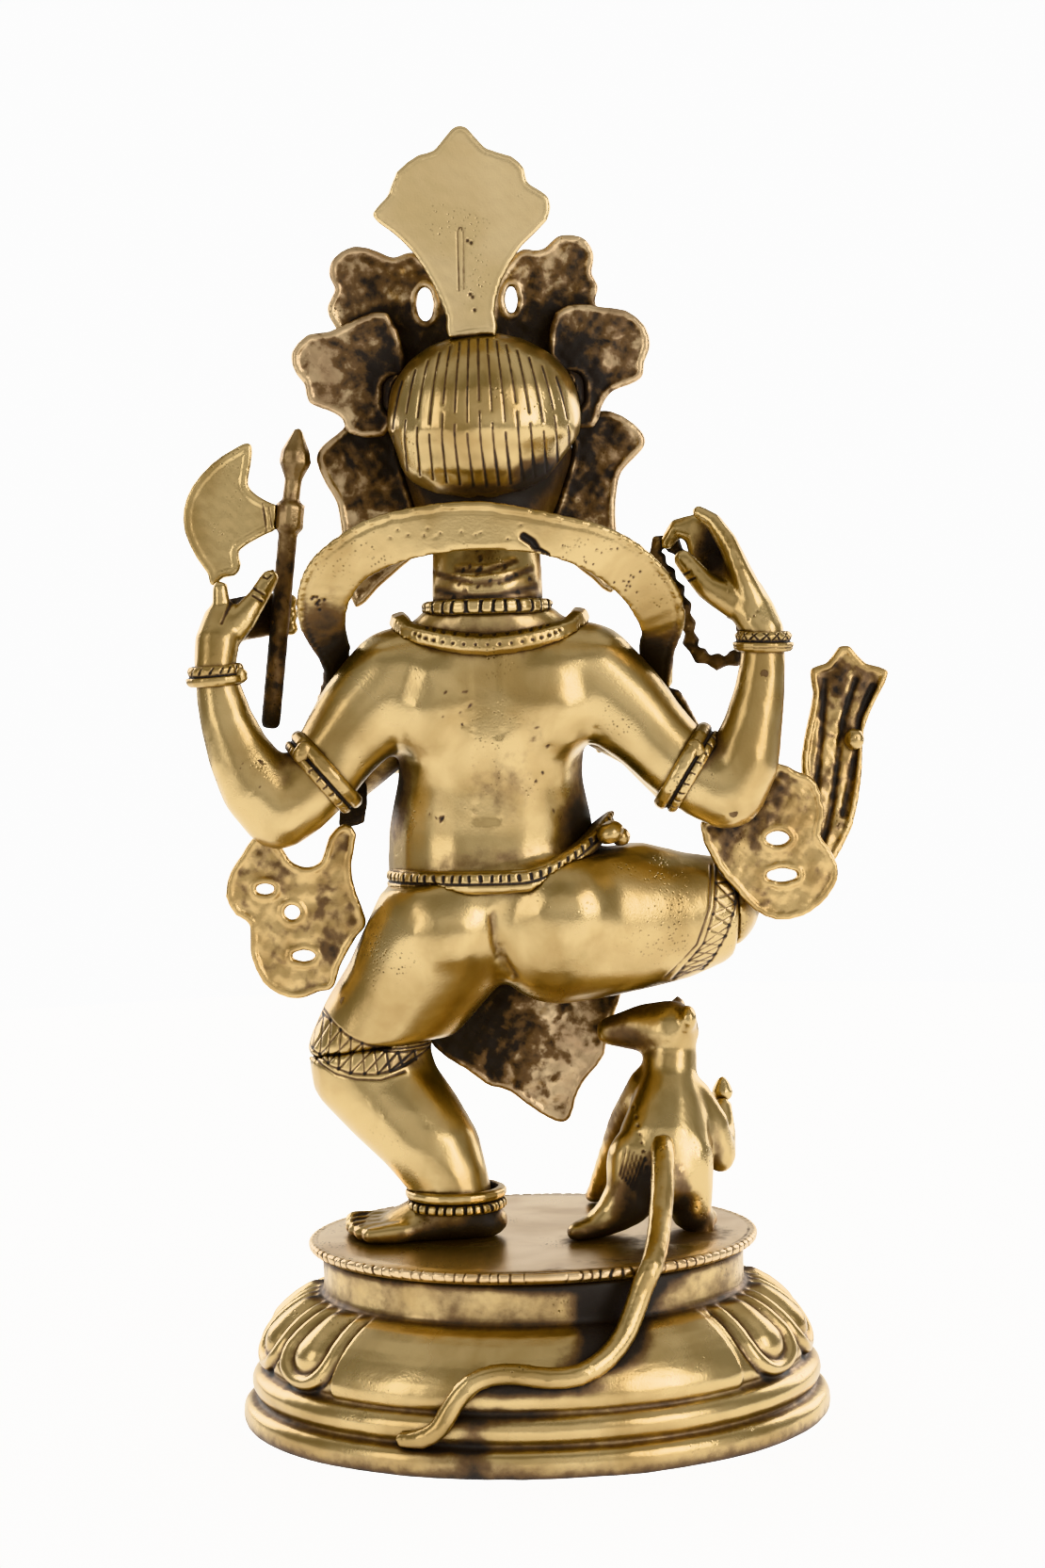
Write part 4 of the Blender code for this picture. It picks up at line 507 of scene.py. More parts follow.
bodyPieces = {
    "trunk": {"nodes": ["torso", "hips"], "grain": 1.75, "rub": 26, "levels": 1, "swell": 0.1},
    "left_shin": {"grain": 1.5, "rub": 20, "levels": 1},
    "right_shin": {"grain": 1.4, "rub": 20, "levels": 1},
    "left_foot": {"grain": 0.8, "rub": 10},
    "right_foot": {"grain": 0.8, "rub": 10},
    "left_forearm": {"grain": 1.2, "rub": 20},
    "right_forearm": {"grain": 1.2, "rub": 20},
    "left_hand": {"grain": 0.66, "rub": 9},
    "right_hand": {"grain": 0.66, "rub": 9},
    "front_left_arm": {"grain": 1.1, "rub": 12},
    "front_right_arm": {"grain": 1.1, "rub": 12},
    "head": {"grain": 1.6, "rub": 16},
    "hair_cap": {"grain": 1.4, "rub": 18, "rounds": 3, "levels": 2},
    "rat_body": {"grain": 1.1, "rub": 9},
    "rat_tail": {"grain": 0.8, "rub": 10},
    "held_tusk": {"grain": 0.7, "rub": 6},
    "right_tusk": {"grain": 0.5, "rub": 5},
    "rat_sweet": {"grain": 0.5, "rub": 3},
    "sweets": {"grain": 0.6, "rub": 3},
}
cast = {}
for name, look in bodyPieces.items():
    nodes = look.get("nodes", [name])
    cast[name] = castingFrom(nodes, look)
    settle(cast[name], nodes, "polished")
print("body cast")


# engraved on the body

# the fold between the buttocks and the soft line of the spine
carve(cast["trunk"], [[(7.8, 132), (7.2, 125), (5.6, 119), (3.6, 115.5)]], width=2.2, depth=0.9, stainAndShade=0.35)
carve(cast["trunk"], [[(7.4, 199), (8.6, 180), (9.0, 158)]], width=11, depth=0.5, stainAndShade=0.0)
for place, size, amount in (
    ((8, 16, 161), (17, 9, 10), 0.45), ((-2, 16, 176), (9, 8, 12), 0.26),
    ((25, 14, 160), (6, 9, 9), 0.22), ((8, 14, 203), (22, 9, 4), 0.3),
    ((-16, -4, 158), (7, 12, 12), 0.7), ((31, -6, 160), (6, 12, 13), 0.8),
    ((12, 15, 146.5), (26, 9, 3.2), 0.30), ((-15, 8, 156), (7, 12, 5), 0.35),
    ((-30, 2, 178), (7, 8, 6), 0.2),
):
    patch(cast["trunk"], place, size, amount)

# the garment's hems above both knees: two lines above, one or two below, hatched between
hem = {
    "left": [[(55, 107.5), (52.2, 105.8), (47.1, 101.1), (41.1, 98.2), (34.3, 96.8), (24, 96.8)],
             [(55, 106), (50.8, 104.2), (45.5, 100.2), (39.6, 97.4), (33.5, 95.9), (25, 95.8)],
             [(58, 97.5), (54.8, 95.4), (51.1, 92.6), (45.9, 90.9), (39.8, 90.6), (34.5, 91.4), (29, 93.6)],
             [(57, 95.6), (53.8, 92.8), (49.7, 90.6), (44.4, 89.4), (38, 89.2), (32, 90.8)]],
    "right": [[(-48.6, 141), (-47.7, 131), (-44.2, 121.5), (-39.0, 116), (-36, 113)],
              [(-50.0, 141), (-49.2, 131), (-46.0, 121.5), (-41.2, 116), (-38, 112)],
              [(-55.6, 137), (-54.6, 130), (-52.0, 123), (-48.6, 117), (-46, 114)]],
}


def spread(line, count):
    # count points along a line, evenly by its own points
    line = np.array(line, float)
    wanted = np.linspace(0, 1, count)
    given = np.linspace(0, 1, len(line))
    return np.stack([np.interp(wanted, given, line[:, i]) for i in (0, 1)], axis=1)


def crossHatch(upper, lower, count):
    # short crossing cuts between two lines that run side by side
    cuts = []
    top, low = spread(upper, count), spread(lower, count)
    for k in range(count):
        for other in (k - 1, k + 1):
            if 0 <= other < count:
                cuts.append([tuple(top[k]), tuple(low[other])])
    return cuts


for piece, centre, size in (
    ("trunk", (41, 10, 99), (23, 30, 11)), ("left_shin", (43, 10, 96), (22, 30, 10)),
    ("trunk", (-48, 10, 128), (9, 30, 17)), ("right_shin", (-48, 10, 127), (11, 30, 17)),
):
    refine(cast[piece], centre, size)
carve(cast["trunk"], hem["left"][:2], width=0.65, depth=0.28, stainAndShade=0.75)
carve(cast["left_shin"], hem["left"], width=0.65, depth=0.28, stainAndShade=0.75)
carve(cast["trunk"], hem["left"][2:], width=0.65, depth=0.28, stainAndShade=0.75)
leftHatch = crossHatch(hem["left"][1], hem["left"][2], 11)
rightHatch = crossHatch(hem["right"][1], hem["right"][2], 11)
for piece in ("trunk", "left_shin"):
    carve(cast[piece], leftHatch, width=0.5, depth=0.25, stainAndShade=0.75)
for piece in ("trunk", "right_shin"):
    carve(cast[piece], hem["right"], width=0.65, depth=0.28, stainAndShade=0.7)
    carve(cast[piece], rightHatch, width=0.5, depth=0.22, stainAndShade=0.65)
patch(cast["left_shin"], (24, 2, 76), (4, 10, 12), 0.35)
patch(cast["left_shin"], (30, 6, 93), (9, 8, 2.5), 0.5)

def scatter(*clusters):
    # casting pits in loose clusters, each given by its middle (x, z) and size in mm, and its count
    spots = []
    for middle, size, count in clusters:
        spots += chance.normal(middle, size, (count, 2)).tolist()
    return spots


# combed hair: upright cuts that draw together at the top, each broken once
hair = {"middle": 7.9, "pitch": 3.2, "half": 7, "top": 277.5, "low": 240.5, "drift": 1.3}
locks = []
for k in range(-hair["half"], hair["half"] + 1):
    top = hair["top"] - 0.21 * k * k
    low = hair["low"] + 0.12 * k * k
    rows = np.linspace(top, low, 15)
    narrow = 1 - 0.27 * ((rows - 252) / 24).clip(0, 1) ** 1.6
    drift = hair["drift"] * ((252 - rows) / 12).clip(0, 1) * (1 - abs(k) / 9)
    places = hair["middle"] + hair["pitch"] * k * narrow - drift
    lock = list(zip(places, rows))
    split = 7 + (k * 5) % 3
    locks += [lock[:split], [(lock[split][0], lock[split][1] - 0.2 * (k % 3)), *lock[split + 1:]]]
carve(cast["hair_cap"], locks, width=0.55, depth=0.24, stainAndShade=1.0)
patch(cast["hair_cap"], (-9, 14, 241.5), (8, 12, 5.5), 1.6)
patch(cast["hair_cap"], (2, 20, 245), (7, 8, 4), 0.3)
patch(cast["hair_cap"], (8, 16, 239.5), (20, 12, 1.6), 0.7)
patch(cast["hair_cap"], (30, 4, 268), (7, 12, 10), 0.5)
patch(cast["hair_cap"], (-15, 4, 268), (7, 12, 10), 0.5)

neckFolds = [[(-4, 219.4), (3, 216.6), (10, 216.2), (17, 217.8), (21, 219)],
             [(-5, 214.6), (4, 212.9), (12, 212.7), (20, 214.2)], [(0, 221.5), (8, 219.0), (15, 219.6)]]
carve(cast["head"], neckFolds, width=1.2, depth=0.45, stainAndShade=0.5)
carve(cast["trunk"], neckFolds, width=1.2, depth=0.45, stainAndShade=0.5)
for piece in ("head", "trunk"):
    patch(cast[piece], (17, 8, 214), (5, 10, 8), 0.3)
    patch(cast[piece], (-3, 8, 214), (5, 10, 8), 0.35)
    patch(cast[piece], (8, 14, 224), (12, 8, 3), 0.3)
    patch(cast[piece], (8, 10, 217), (16, 14, 7), 0.22)
# painted shade: the head under the hair cap and the crown leaves is darkened
patch(cast["head"], (8, 6, 246), (34, 20, 16), 1.4)
neckPits = scatter(((9, 219), (5, 4), 26))
press(cast["head"], neckPits, radius=0.45, depth=0.22, stainAndShade=0.8)
backPits = scatter(((14, 186), (3.5, 4.5), 13), ((21, 157), (2.2, 1.2), 6), ((-3, 172), (3, 7), 8))
press(cast["trunk"], backPits, radius=0.4, depth=0.25, stainAndShade=1.0)

# nails, knuckles and finger lines
leftKnuckles = [[(66.9, 216.1), (64.2, 214.4)], [(67.1, 214.3), (64.7, 212.7)]]
carve(cast["left_hand"], leftKnuckles, width=0.6, depth=0.35, stainAndShade=1.0)
carve(cast["left_hand"], [[(62.2, 219.4), (63.4, 218.4), (64.6, 219.0)]], width=0.6, depth=0.4, stainAndShade=1.0)
carve(cast["left_hand"], [[(74.9, 207.6), (73.9, 210), (72.6, 212.6)]], width=0.9, depth=0.4, stainAndShade=0.9)
rightKnuckles = [[(-44.2, 217.4), (-42.0, 216.2)], [(-45.4, 215.8), (-43.2, 214.6)]]
carve(cast["right_hand"], rightKnuckles, width=0.6, depth=0.35, stainAndShade=1.0)
patch(cast["left_hand"], (70, -6, 212), (7, 8, 9), 0.9)
patch(cast["right_hand"], (-52, -2, 222), (5, 5, 9), 1.1)
for piece, x, z in (("right_hand", -60, 206), ("left_forearm", 67, 165), ("left_forearm", 71, 171)):
    press(cast[piece], [(x, z), (x + 1.3, z - 0.9), (x - 0.9, z + 1.2)], radius=0.35, depth=0.25, stainAndShade=0.7)
patch(cast["right_forearm"], (-49, 6, 171), (6, 9, 6), 0.6)
patch(cast["left_forearm"], (60, 6, 168), (5, 9, 5), 0.6)

toes = [[(x, 51.6 + 0.2 * k), (x - 7, 54.2 + 0.5 * k)] for k, x in enumerate((46, 46.5, 45.5, 44))]
carve(cast["left_foot"], toes, width=0.9, depth=0.5, stainAndShade=1.0)
patch(cast["left_foot"], (20, 10, 50), (12, 8, 4), 0.7)
patch(cast["left_foot"], (12, 8, 52), (5, 8, 5), 0.7)

# the rat: punched dots, chisel lines on its haunch, darkening between its legs
ratDots = [(-26.8 - 0.4 * k, 80 - 2.0 * k) for k in range(9)]
press(cast["rat_body"], ratDots, radius=0.5, depth=0.3, stainAndShade=0.8)
chisel = [[(-24.5 - 0.9 * k, 71 - 0.6 * k), (-22.6 - 0.7 * k, 64 - 0.7 * k)] for k in range(6)]
carve(cast["rat_body"], chisel, width=0.55, depth=0.2, stainAndShade=0.7)
for place, size, amount in (
    ((-25.5, 6, 57), (6, 12, 9), 1.3), ((-30.5, 10, 60), (3.2, 9, 8.5), 1.3),
    ((-38.2, 8, 59), (3.0, 8, 9), 1.2), ((-20, -8, 68), (6, 12, 16), 0.8),
    ((-14, 8, 50), (9, 8, 3), 0.9), ((-24, -6, 97), (5, 8, 4), 0.7), ((-31, -3, 96), (5, 6, 4), 0.6),
    ((-40, 6, 50), (7, 8, 3), 0.6), ((-47, -2, 72), (4, 8, 7), 0.4), ((-37, -3, 92), (6, 5, 2), 0.5),
):
    patch(cast["rat_body"], place, size, amount)
print("body engraved")


# bands

# notches are from and to along the axis, how many round, width, depth and slant
# rings are place, width and depth, all in mm
bands = {
    "waist_belt": {
        "grain": 0.7, "rub": 3, "middle": (5.8, -7.4, 139.6), "axis": (0, -0.04, 1), "climb": 0.022,
        "notches": [(0.1, 2.1, 66, 0.8, 0.6, 0)], "rings": [(-0.35, 0.7, 0.5), (2.6, 0.6, 0.2)],
    },
    "neck_beads": {
        "grain": 0.5, "rub": 2, "middle": (7.4, 2.6, 209.6), "axis": (0, -0.06, 1),
        "notches": [(-1.9, 1.9, 27, 0.9, 0.7, 0), (-1.9, 1.9, 27, 0.4, 0.4, 0.3)], "rings": [(0, 0.5, 0.12)],
    },
    "left_bracelet": {
        "grain": 0.45, "rub": 2, "middle": (76.9, 7, 194.4), "axis": (0.06, 0, 1),
        "notches": [(0.4, 2.3, 17, 0.6, 0.4, 0.5)], "rings": [(0.1, 0.6, 0.5)],
    },
    "right_bracelet": {
        "grain": 0.45, "rub": 2, "middle": (-62.5, 7, 199.4), "axis": (-0.03, 0, 1),
        "notches": [(0.4, 2.4, 15, 0.6, 0.4, 0.9), (0.4, 2.4, 15, 0.6, 0.4, -0.9)],
        "rings": [(0.2, 0.6, 0.5), (-1.4, 0.4, 0.2)],
    },
    "left_armlet": {
        "grain": 0.5, "rub": 3, "middle": (50.6, 4, 168.6), "axis": (0.76, 0.08, -0.64),
        "notches": [(1.0, 2.8, 24, 0.6, 0.3, 0)], "rings": [(0.7, 0.7, 0.5)],
    },
    "right_armlet": {
        "grain": 0.5, "rub": 3, "middle": (-42.6, 4.4, 167.3), "axis": (-0.84, 0.08, -0.52),
        "notches": [(1.0, 2.8, 24, 0.6, 0.35, 0)], "rings": [(0.7, 0.7, 0.5)],
    },
    "left_anklet_ring": {"grain": 0.45, "rub": 3, "middle": (19.6, 3, 59.0), "axis": (0, 0, 1)},
    "left_anklet_beads": {
        "grain": 0.45, "rub": 2, "middle": (19.6, 3, 56.1), "axis": (0, 0, 1),
        "notches": [(-1.4, 1.4, 30, 0.8, 0.7, 0)],
    },
    "right_anklet": {
        "grain": 0.45, "rub": 2, "middle": (-19, -39.5, 114), "axis": (0.87, -0.27, -0.41),
        "notches": [(-1.8, 1.8, 22, 0.7, 0.5, 0)],
    },
}
for node, look in bands.items():
    cast[node] = castingFrom([node], dict(look, swell=0.15))
    # the belt climbs toward the raised leg, so it is let down flat while it is marked
    points = pointsOf(cast[node])
    climb = look.get("climb", 0) * (2 - points[:, 0]).clip(0) ** 2
    climb = np.stack([0 * climb, 0 * climb, climb], 1)
    movePoints(cast[node], points - climb)
    ringMarks(cast[node], look)
    movePoints(cast[node], pointsOf(cast[node]) + climb)
    settle(cast[node], [node], "engraved")
print("bands worked")

ornamentPieces = {
    "collar": {"grain": 0.6, "rub": 4, "swell": 0.2},
    "crown_band": {"grain": 0.8, "rub": 4},
    "shoulder_scarf": {"grain": 0.88, "rub": 9, "swell": 0.25},
    "sweet_bowl": {"grain": 0.5, "rub": 3},
    "axe_blade": {"grain": 0.55, "rub": 3, "swell": 0.2},
    "crown_plume": {"grain": 0.75, "rub": 4, "swell": 0.2},
}
for node, look in ornamentPieces.items():
    cast[node] = castingFrom([node], look)

# punched dots along the collar
collarDots = [(7.5 + 19.5 * sin(turn), 205.2 - 4.4 * cos(turn)) for turn in np.linspace(-1.25, 1.25, 17)]
collarDots += [(7.5 + 17.0 * sin(turn), 207.0 - 3.6 * cos(turn)) for turn in np.linspace(-1.1, 1.1, 12)]
press(cast["collar"], collarDots, radius=0.55, depth=0.35, stainAndShade=0.9)
patch(cast["collar"], (7.5, 14, 207), (24, 10, 2.0), 0.5)

# the plume: its slot line, and a bright rounded rim
plumeRim = {"rim": 1.5, "sunk": 0.28, "rough": 0.05, "lump": 8, "stainAndShade": 0.0, "rimClean": 0.1}
roll(cast["crown_plume"], plumeRim)
slotLine = [(12.3, 289.5), (12.35, 304.2), (11.9, 305.2), (11.4, 305.2), (11.0, 304.2), (11.1, 289.8)]
carve(cast["crown_plume"], [slotLine], width=0.45, depth=0.2, stainAndShade=0.8)
plumePits = [(9.6, 288.6), (9.0, 287.9), (8.6, 284.6), (9.0, 301.4), (9.9, 302)]
press(cast["crown_plume"], plumePits, radius=0.6, depth=0.35, stainAndShade=1.0)
patch(cast["crown_plume"], (9.5, 9, 277.5), (8, 6, 1.2), 0.5)

# the axe blade: bevelled outer edge, two cuts by the socket
bladeRim = {"rim": 2.4, "sunk": 0.3, "rough": 0.08, "lump": 7, "stainAndShade": 0.10, "rimClean": 0.15}
roll(cast["axe_blade"], bladeRim)
socketCuts = [[(63.0, 236.6), (62.4, 231.6)], [(64.6, 237.6), (63.8, 230.4)]]
carve(cast["axe_blade"], socketCuts, width=0.5, depth=0.25, stainAndShade=0.9)


scarf = {
    "middle": (7.5, 196), "slices": 240, "lipFrom": 206, "lipFull": 212,
    "lip": 0.45, "lipRough": 0.10, "groove": 0.22, "grooveIn": 2.3,
}


def scarfLip(piece, look):
    # a thin wavy lip along the outer edge of the loop, painted lighter, partly as rubbed-clean metal and
    # partly as a painted highlight, and a dull band inside it
    points, normals = pointsOf(piece), normalsOf(piece)
    arm = points[:, [0, 2]] - np.array(look["middle"])
    reach = np.linalg.norm(arm, axis=1)
    slices = look["slices"]
    turn = (np.arctan2(arm[:, 1], arm[:, 0]) + pi) / (2 * pi)
    bins = (turn * slices).astype(int).clip(0, slices - 1)
    outer = np.zeros(slices)
    np.maximum.at(outer, bins, reach)
    outer = (np.roll(outer, 1) + outer + np.roll(outer, -1)) / 3
    gap = outer[bins] - reach + 0.25 * wobble(points, 6, 2)
    lip = (1 - smooth(gap, 0.9, 1.9)) * smooth(points[:, 2], look["lipFrom"], look["lipFull"])
    back = smooth(normals[:, 1], 0.1, 0.5)
    groove = np.exp(-(((gap - look["grooveIn"]) / 0.5) ** 2))
    bump = look["lip"] * lip + look["lipRough"] * lip * wobble(points, 3, 2) - look["groove"] * groove
    movePoints(piece, points + normals * (bump * back)[:, None])
    # the lip's lighter colour is partly a painted highlight
    addToStainAndShade(piece, 0.12 * np.exp(-(((gap - 2.2) / 0.6) ** 2)) - 0.25 * lip)


scarfLip(cast["shoulder_scarf"], scarf)
refine(cast["shoulder_scarf"], (-4, 14, 226), (6, 14, 6))
nick = [[(-2.3, 227.6), (-4.3, 226.2), (-5.6, 224.2), (-7.6, 222.6)]]
carve(cast["shoulder_scarf"], nick, width=1.7, depth=1.2, stainAndShade=1.5)
patch(cast["shoulder_scarf"], (50, 4, 203), (9, 14, 9), 0.9)
patch(cast["shoulder_scarf"], (47, -8, 192), (9, 12, 9), 0.8)
patch(cast["shoulder_scarf"], (-38, 0, 198), (9, 12, 9), 0.9)
patch(cast["shoulder_scarf"], (46, 12, 213), (9, 8, 8), 0.34)
patch(cast["shoulder_scarf"], (-24, 12, 218), (9, 8, 7), 0.30)
scarfPits = scatter(
    ((50, 213), (1.6, 1.3), 9), ((-17, 222.5), (4, 1.8), 12),
    ((-27, 215.5), (2.4, 3.4), 12), ((15, 229), (12, 1.6), 12),
)
press(cast["shoulder_scarf"], scarfPits, radius=0.36, depth=0.25, stainAndShade=0.8)
patch(cast["crown_band"], (7, 4, 262), (40, 16, 12), 1.2)
ownFinish = {"crown_band": "roughCast", "crown_plume": "plume"}
for node in ornamentPieces:
    settle(cast[node], [node], ownFinish.get(node, "engraved"))
print("ornaments cast")


# rough plates

roughPieces = {
    "crown_front_leaf": {"grain": 0.8, "rub": 4},
    "crown_left_upper_leaf": {"grain": 0.8, "rub": 3},
    "crown_left_lower_leaf": {"grain": 0.8, "rub": 3},
    "crown_right_upper_leaf": {"grain": 0.8, "rub": 3},
    "crown_right_lower_leaf": {"grain": 0.8, "rub": 3},
    "left_ear": {"grain": 0.8, "rub": 3},
    "right_ear": {"grain": 0.8, "rub": 3},
    "loincloth_flap": {"grain": 0.95, "rub": 3},
    "left_sash_bow": {"grain": 0.8, "rub": 3},
    "right_sash_bow": {"grain": 0.8, "rub": 3},
    "right_sash_tail": {"grain": 0.6, "rub": 4},
}
roughRim = {"rim": 2.0, "sunk": 0.5, "rough": 0.40, "lump": 10.0, "stainAndShade": 0.12, "rimClean": 0.30}
plated = ("left_sash_bow", "right_sash_bow", "right_sash_tail")
for node, look in roughPieces.items():
    cast[node] = castingFrom([node], dict(look, swell=0.2))
    roll(cast[node], roughRim)
for node in ("left_ear", "crown_left_lower_leaf", "crown_left_upper_leaf"):
    patch(cast[node], (24, -8, 262), (19, 14, 34), 0.75)
for node in ("right_ear", "crown_right_lower_leaf", "crown_right_upper_leaf"):
    patch(cast[node], (-11, -8, 262), (18, 14, 34), 0.75)
for node in plated:
    points = pointsOf(cast[node])
    addToStainAndShade(cast[node], 0.30 * wobble(points, 7, 3) - 0.1)
patch(cast["left_sash_bow"], (50, -3, 126), (8, 6, 14), 0.4)
patch(cast["right_sash_bow"], (-56, 0, 150), (10, 8, 10), 0.35)
patch(cast["loincloth_flap"], (12, -19, 102), (20, 8, 18), 0.7)
patch(cast["right_sash_tail"], (-84, -10, 186), (12, 20, 10), 0.5)
patch(cast["loincloth_flap"], (-12, -19, 90), (12, 8, 16), -0.25)

pleats = [
    [(-88, 188), (-84.6, 178), (-82.6, 166), (-80.2, 153), (-76.6, 142)],
    [(-80, 188), (-79, 178), (-77.6, 166), (-76, 156)],
    [(-92.6, 186), (-88.6, 178), (-86.8, 166), (-83.6, 153)],
]
for side in (1, -1):
    carve(cast["right_sash_tail"], pleats, width=1.5, depth=0.7, stainAndShade=0.7, side=side)
for node in roughPieces:
    settle(cast[node], [node], "platedCast" if node in plated else "roughCast")
print("plates cast")

darkPieces = {
    "axe_shaft": {"grain": 0.65, "rub": 4, "swell": 0.15},
    "rosary": {"grain": 0.5, "rub": 1, "swell": 0.2},
    "left_sash_strap": {"grain": 0.7, "rub": 6},
    "right_sash_strap": {"grain": 0.7, "rub": 6},
}
for node, look in darkPieces.items():
    cast[node] = castingFrom([node], look)
    settle(cast[node], [node], "darkCast")
patch(cast["axe_shaft"], (55, -8, 246), (10, 12, 20), -0.55)

for node in ("elbow_plug", "left_arm_plug", "right_arm_plug", "thigh_plug", "bottom_plate"):
    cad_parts[node].data.materials.clear()
    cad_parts[node].data.materials.append(finishes["darkCast"])


# pedestal

# the lines are (reach, height) in mm before the ring is made oval
# flat is the oval's depth over its width
pedestal = {
    "flat": 0.8636, "around": 640,
    "inside": [(0, 40.7), (51.6, 40.7), (51.6, 31.4), (67.0, 16.0), (71.3, 1.9), (71.3, 0.0), (74.8, 0.0)],
    "foot": [
        (74.8, 0.0), (75.8, 0.4), (76.2, 1.5), (76.25, 3.0), (76.2, 4.6), (75.6, 5.9), (74.6, 6.7),
        (73.2, 7.0),
    ],
    "moulding": [
        (73.2, 7.0), (72.1, 7.6), (72.5, 8.3), (73.4, 9.2), (73.95, 10.6), (73.9, 12.0), (73.3, 13.3),
        (72.2, 14.3), (70.9, 14.9),
    ],
    "lotus": [
        (70.9, 14.9), (70.4, 15.5), (71.2, 16.4), (71.8, 17.8), (71.7, 19.6), (71.0, 21.6), (69.8, 23.6),
        (68.2, 25.8), (66.0, 28.0), (63.3, 30.2), (60.4, 32.0), (57.6, 33.2), (55.4, 33.8),
    ],
    "drum": [
        (55.4, 33.8), (54.5, 34.3), (54.4, 35.2), (54.5, 38.0), (54.6, 41.0), (54.7, 43.2), (54.2, 43.7),
    ],
    "top": [(54.2, 43.7), (30, 43.7), (0, 43.7)],
}


def finely(points, gap):
    # the same line with points about gap mm apart, rounded through its own corners
    points = np.array(points, float)
    steps = np.linalg.norm(np.diff(points, axis=0), axis=1)
    along = np.concatenate([[0], np.cumsum(steps)])
    count = max(2, int(round(along[-1] / gap)) + 1)
    wanted = np.linspace(0, along[-1], count)
    line = np.stack([np.interp(wanted, along, points[:, i]) for i in (0, 1)], axis=1)
    for _ in range(2):
        line[1:-1] = 0.25 * line[:-2] + 0.5 * line[1:-1] + 0.25 * line[2:]
    return line


def latheOval(name, profile, around, flat):
    mesh = bpy.data.meshes.new(name)
    edges = [(k, k + 1) for k in range(len(profile) - 1)]
    mesh.from_pydata([(radius * mm, 0, height * mm) for radius, height in profile], edges, [])
    piece = bpy.data.objects.new(name, mesh)
    bpy.context.collection.objects.link(piece)
    turn = piece.modifiers.new("turn", "SCREW")
    turn.steps = turn.render_steps = around
    turn.use_merge_vertices = True
    turn.merge_threshold = 0.00001
    applyModifiers(piece)
    bpy.ops.object.mode_set(mode="EDIT")
    bpy.ops.mesh.select_all(action="SELECT")
    bpy.ops.mesh.normals_make_consistent(inside=False)
    bpy.ops.object.mode_set(mode="OBJECT")
    bpy.ops.object.shade_smooth()
    points = pointsOf(piece)
    points[:, 1] *= flat
    movePoints(piece, points)
    addStainAndShade(piece)
    return piece


profile = pedestal["inside"][:-1]
for part, gap in (("foot", 0.8), ("moulding", 0.6), ("lotus", 0.42), ("drum", 0.8)):
    profile += [tuple(row) for row in finely(pedestal[part], gap)[:-1]]
profile += pedestal["top"]
base = latheOval("lotus_base_cast", profile, pedestal["around"], pedestal["flat"])

# first, pitch and the two ends are in degrees round the ring, which is plain behind; the rest is in mm
petals = {
    "count": 12, "first": 57.0, "pitch": 22.09, "endFull": 133.6, "endNone": 134.8,
    "low": 14.6, "high": 34.2, "innermost": 56, "reach": 66, "half": 12.4,
    "shoulder": 26, "belly": 10.9, "lean": 0.12, "border": 4.6, "bulbFrom": 6.4, "bulbReach": 5.0,
    "sunk": 0.7, "borderRise": 1.25, "bulbRise": 1.9, "recess": 0.55, "edge": 0.5,
}


def workPetals(piece, flat, look):
    # a row of lotus petals, each with a raised border, a groove inside it and a bulging middle
    points, normals = pointsOf(piece), normalsOf(piece)
    angle = np.degrees(np.arctan2(points[:, 0], points[:, 1] / flat)) % 360
    height = points[:, 2]
    out = np.hypot(points[:, 0], points[:, 1] / flat) > look["innermost"]
    out &= np.hypot(normals[:, 0], normals[:, 1]) > 0.15
    out &= (height > look["low"]) & (height < look["high"])
    first, pitch, half, shoulder = look["first"], look["pitch"], look["half"], look["shoulder"]
    number = np.round((angle - first) / pitch).clip(0, look["count"] - 1)
    apart = np.radians(angle - first - number * pitch)
    across = apart * look["reach"]
    below = ((shoulder - height) / look["belly"]).clip(0)
    inwardBelow = 12 * (1 - np.hypot(across / half, below))
    inwardAbove = (half - look["lean"] * (height - shoulder) - np.abs(across)) * 0.97
    inward = np.where(height < shoulder, inwardBelow, inwardAbove)
    zone = 1 - smooth(np.abs(angle - 180), look["endFull"], look["endNone"])
    border = np.abs(np.sin(pi * (inward / look["border"]).clip(0, 1))) ** 0.7
    bulb = 1 - ((1 - ((inward - look["bulbFrom"]) / look["bulbReach"]).clip(0, 1)) ** 2)
    recess = np.exp(-(((inward - 5.5) / 0.85) ** 2))
    edge = np.exp(-(((inward + 0.5) / 0.8) ** 2))
    relief = look["borderRise"] * border + look["bulbRise"] * bulb - look["sunk"]
    relief -= look["recess"] * recess + look["edge"] * edge
    fade = smooth(height, 14.8, 16.2) * (1 - smooth(height, 32.6, 34.0))
    lift = relief * fade * zone * out
    movePoints(piece, points + normals * lift[:, None])
    addToStainAndShade(piece, (0.75 * recess + 0.65 * edge + 0.25 * (inward < -0.5)) * fade * zone * out)


workPetals(base, pedestal["flat"], petals)


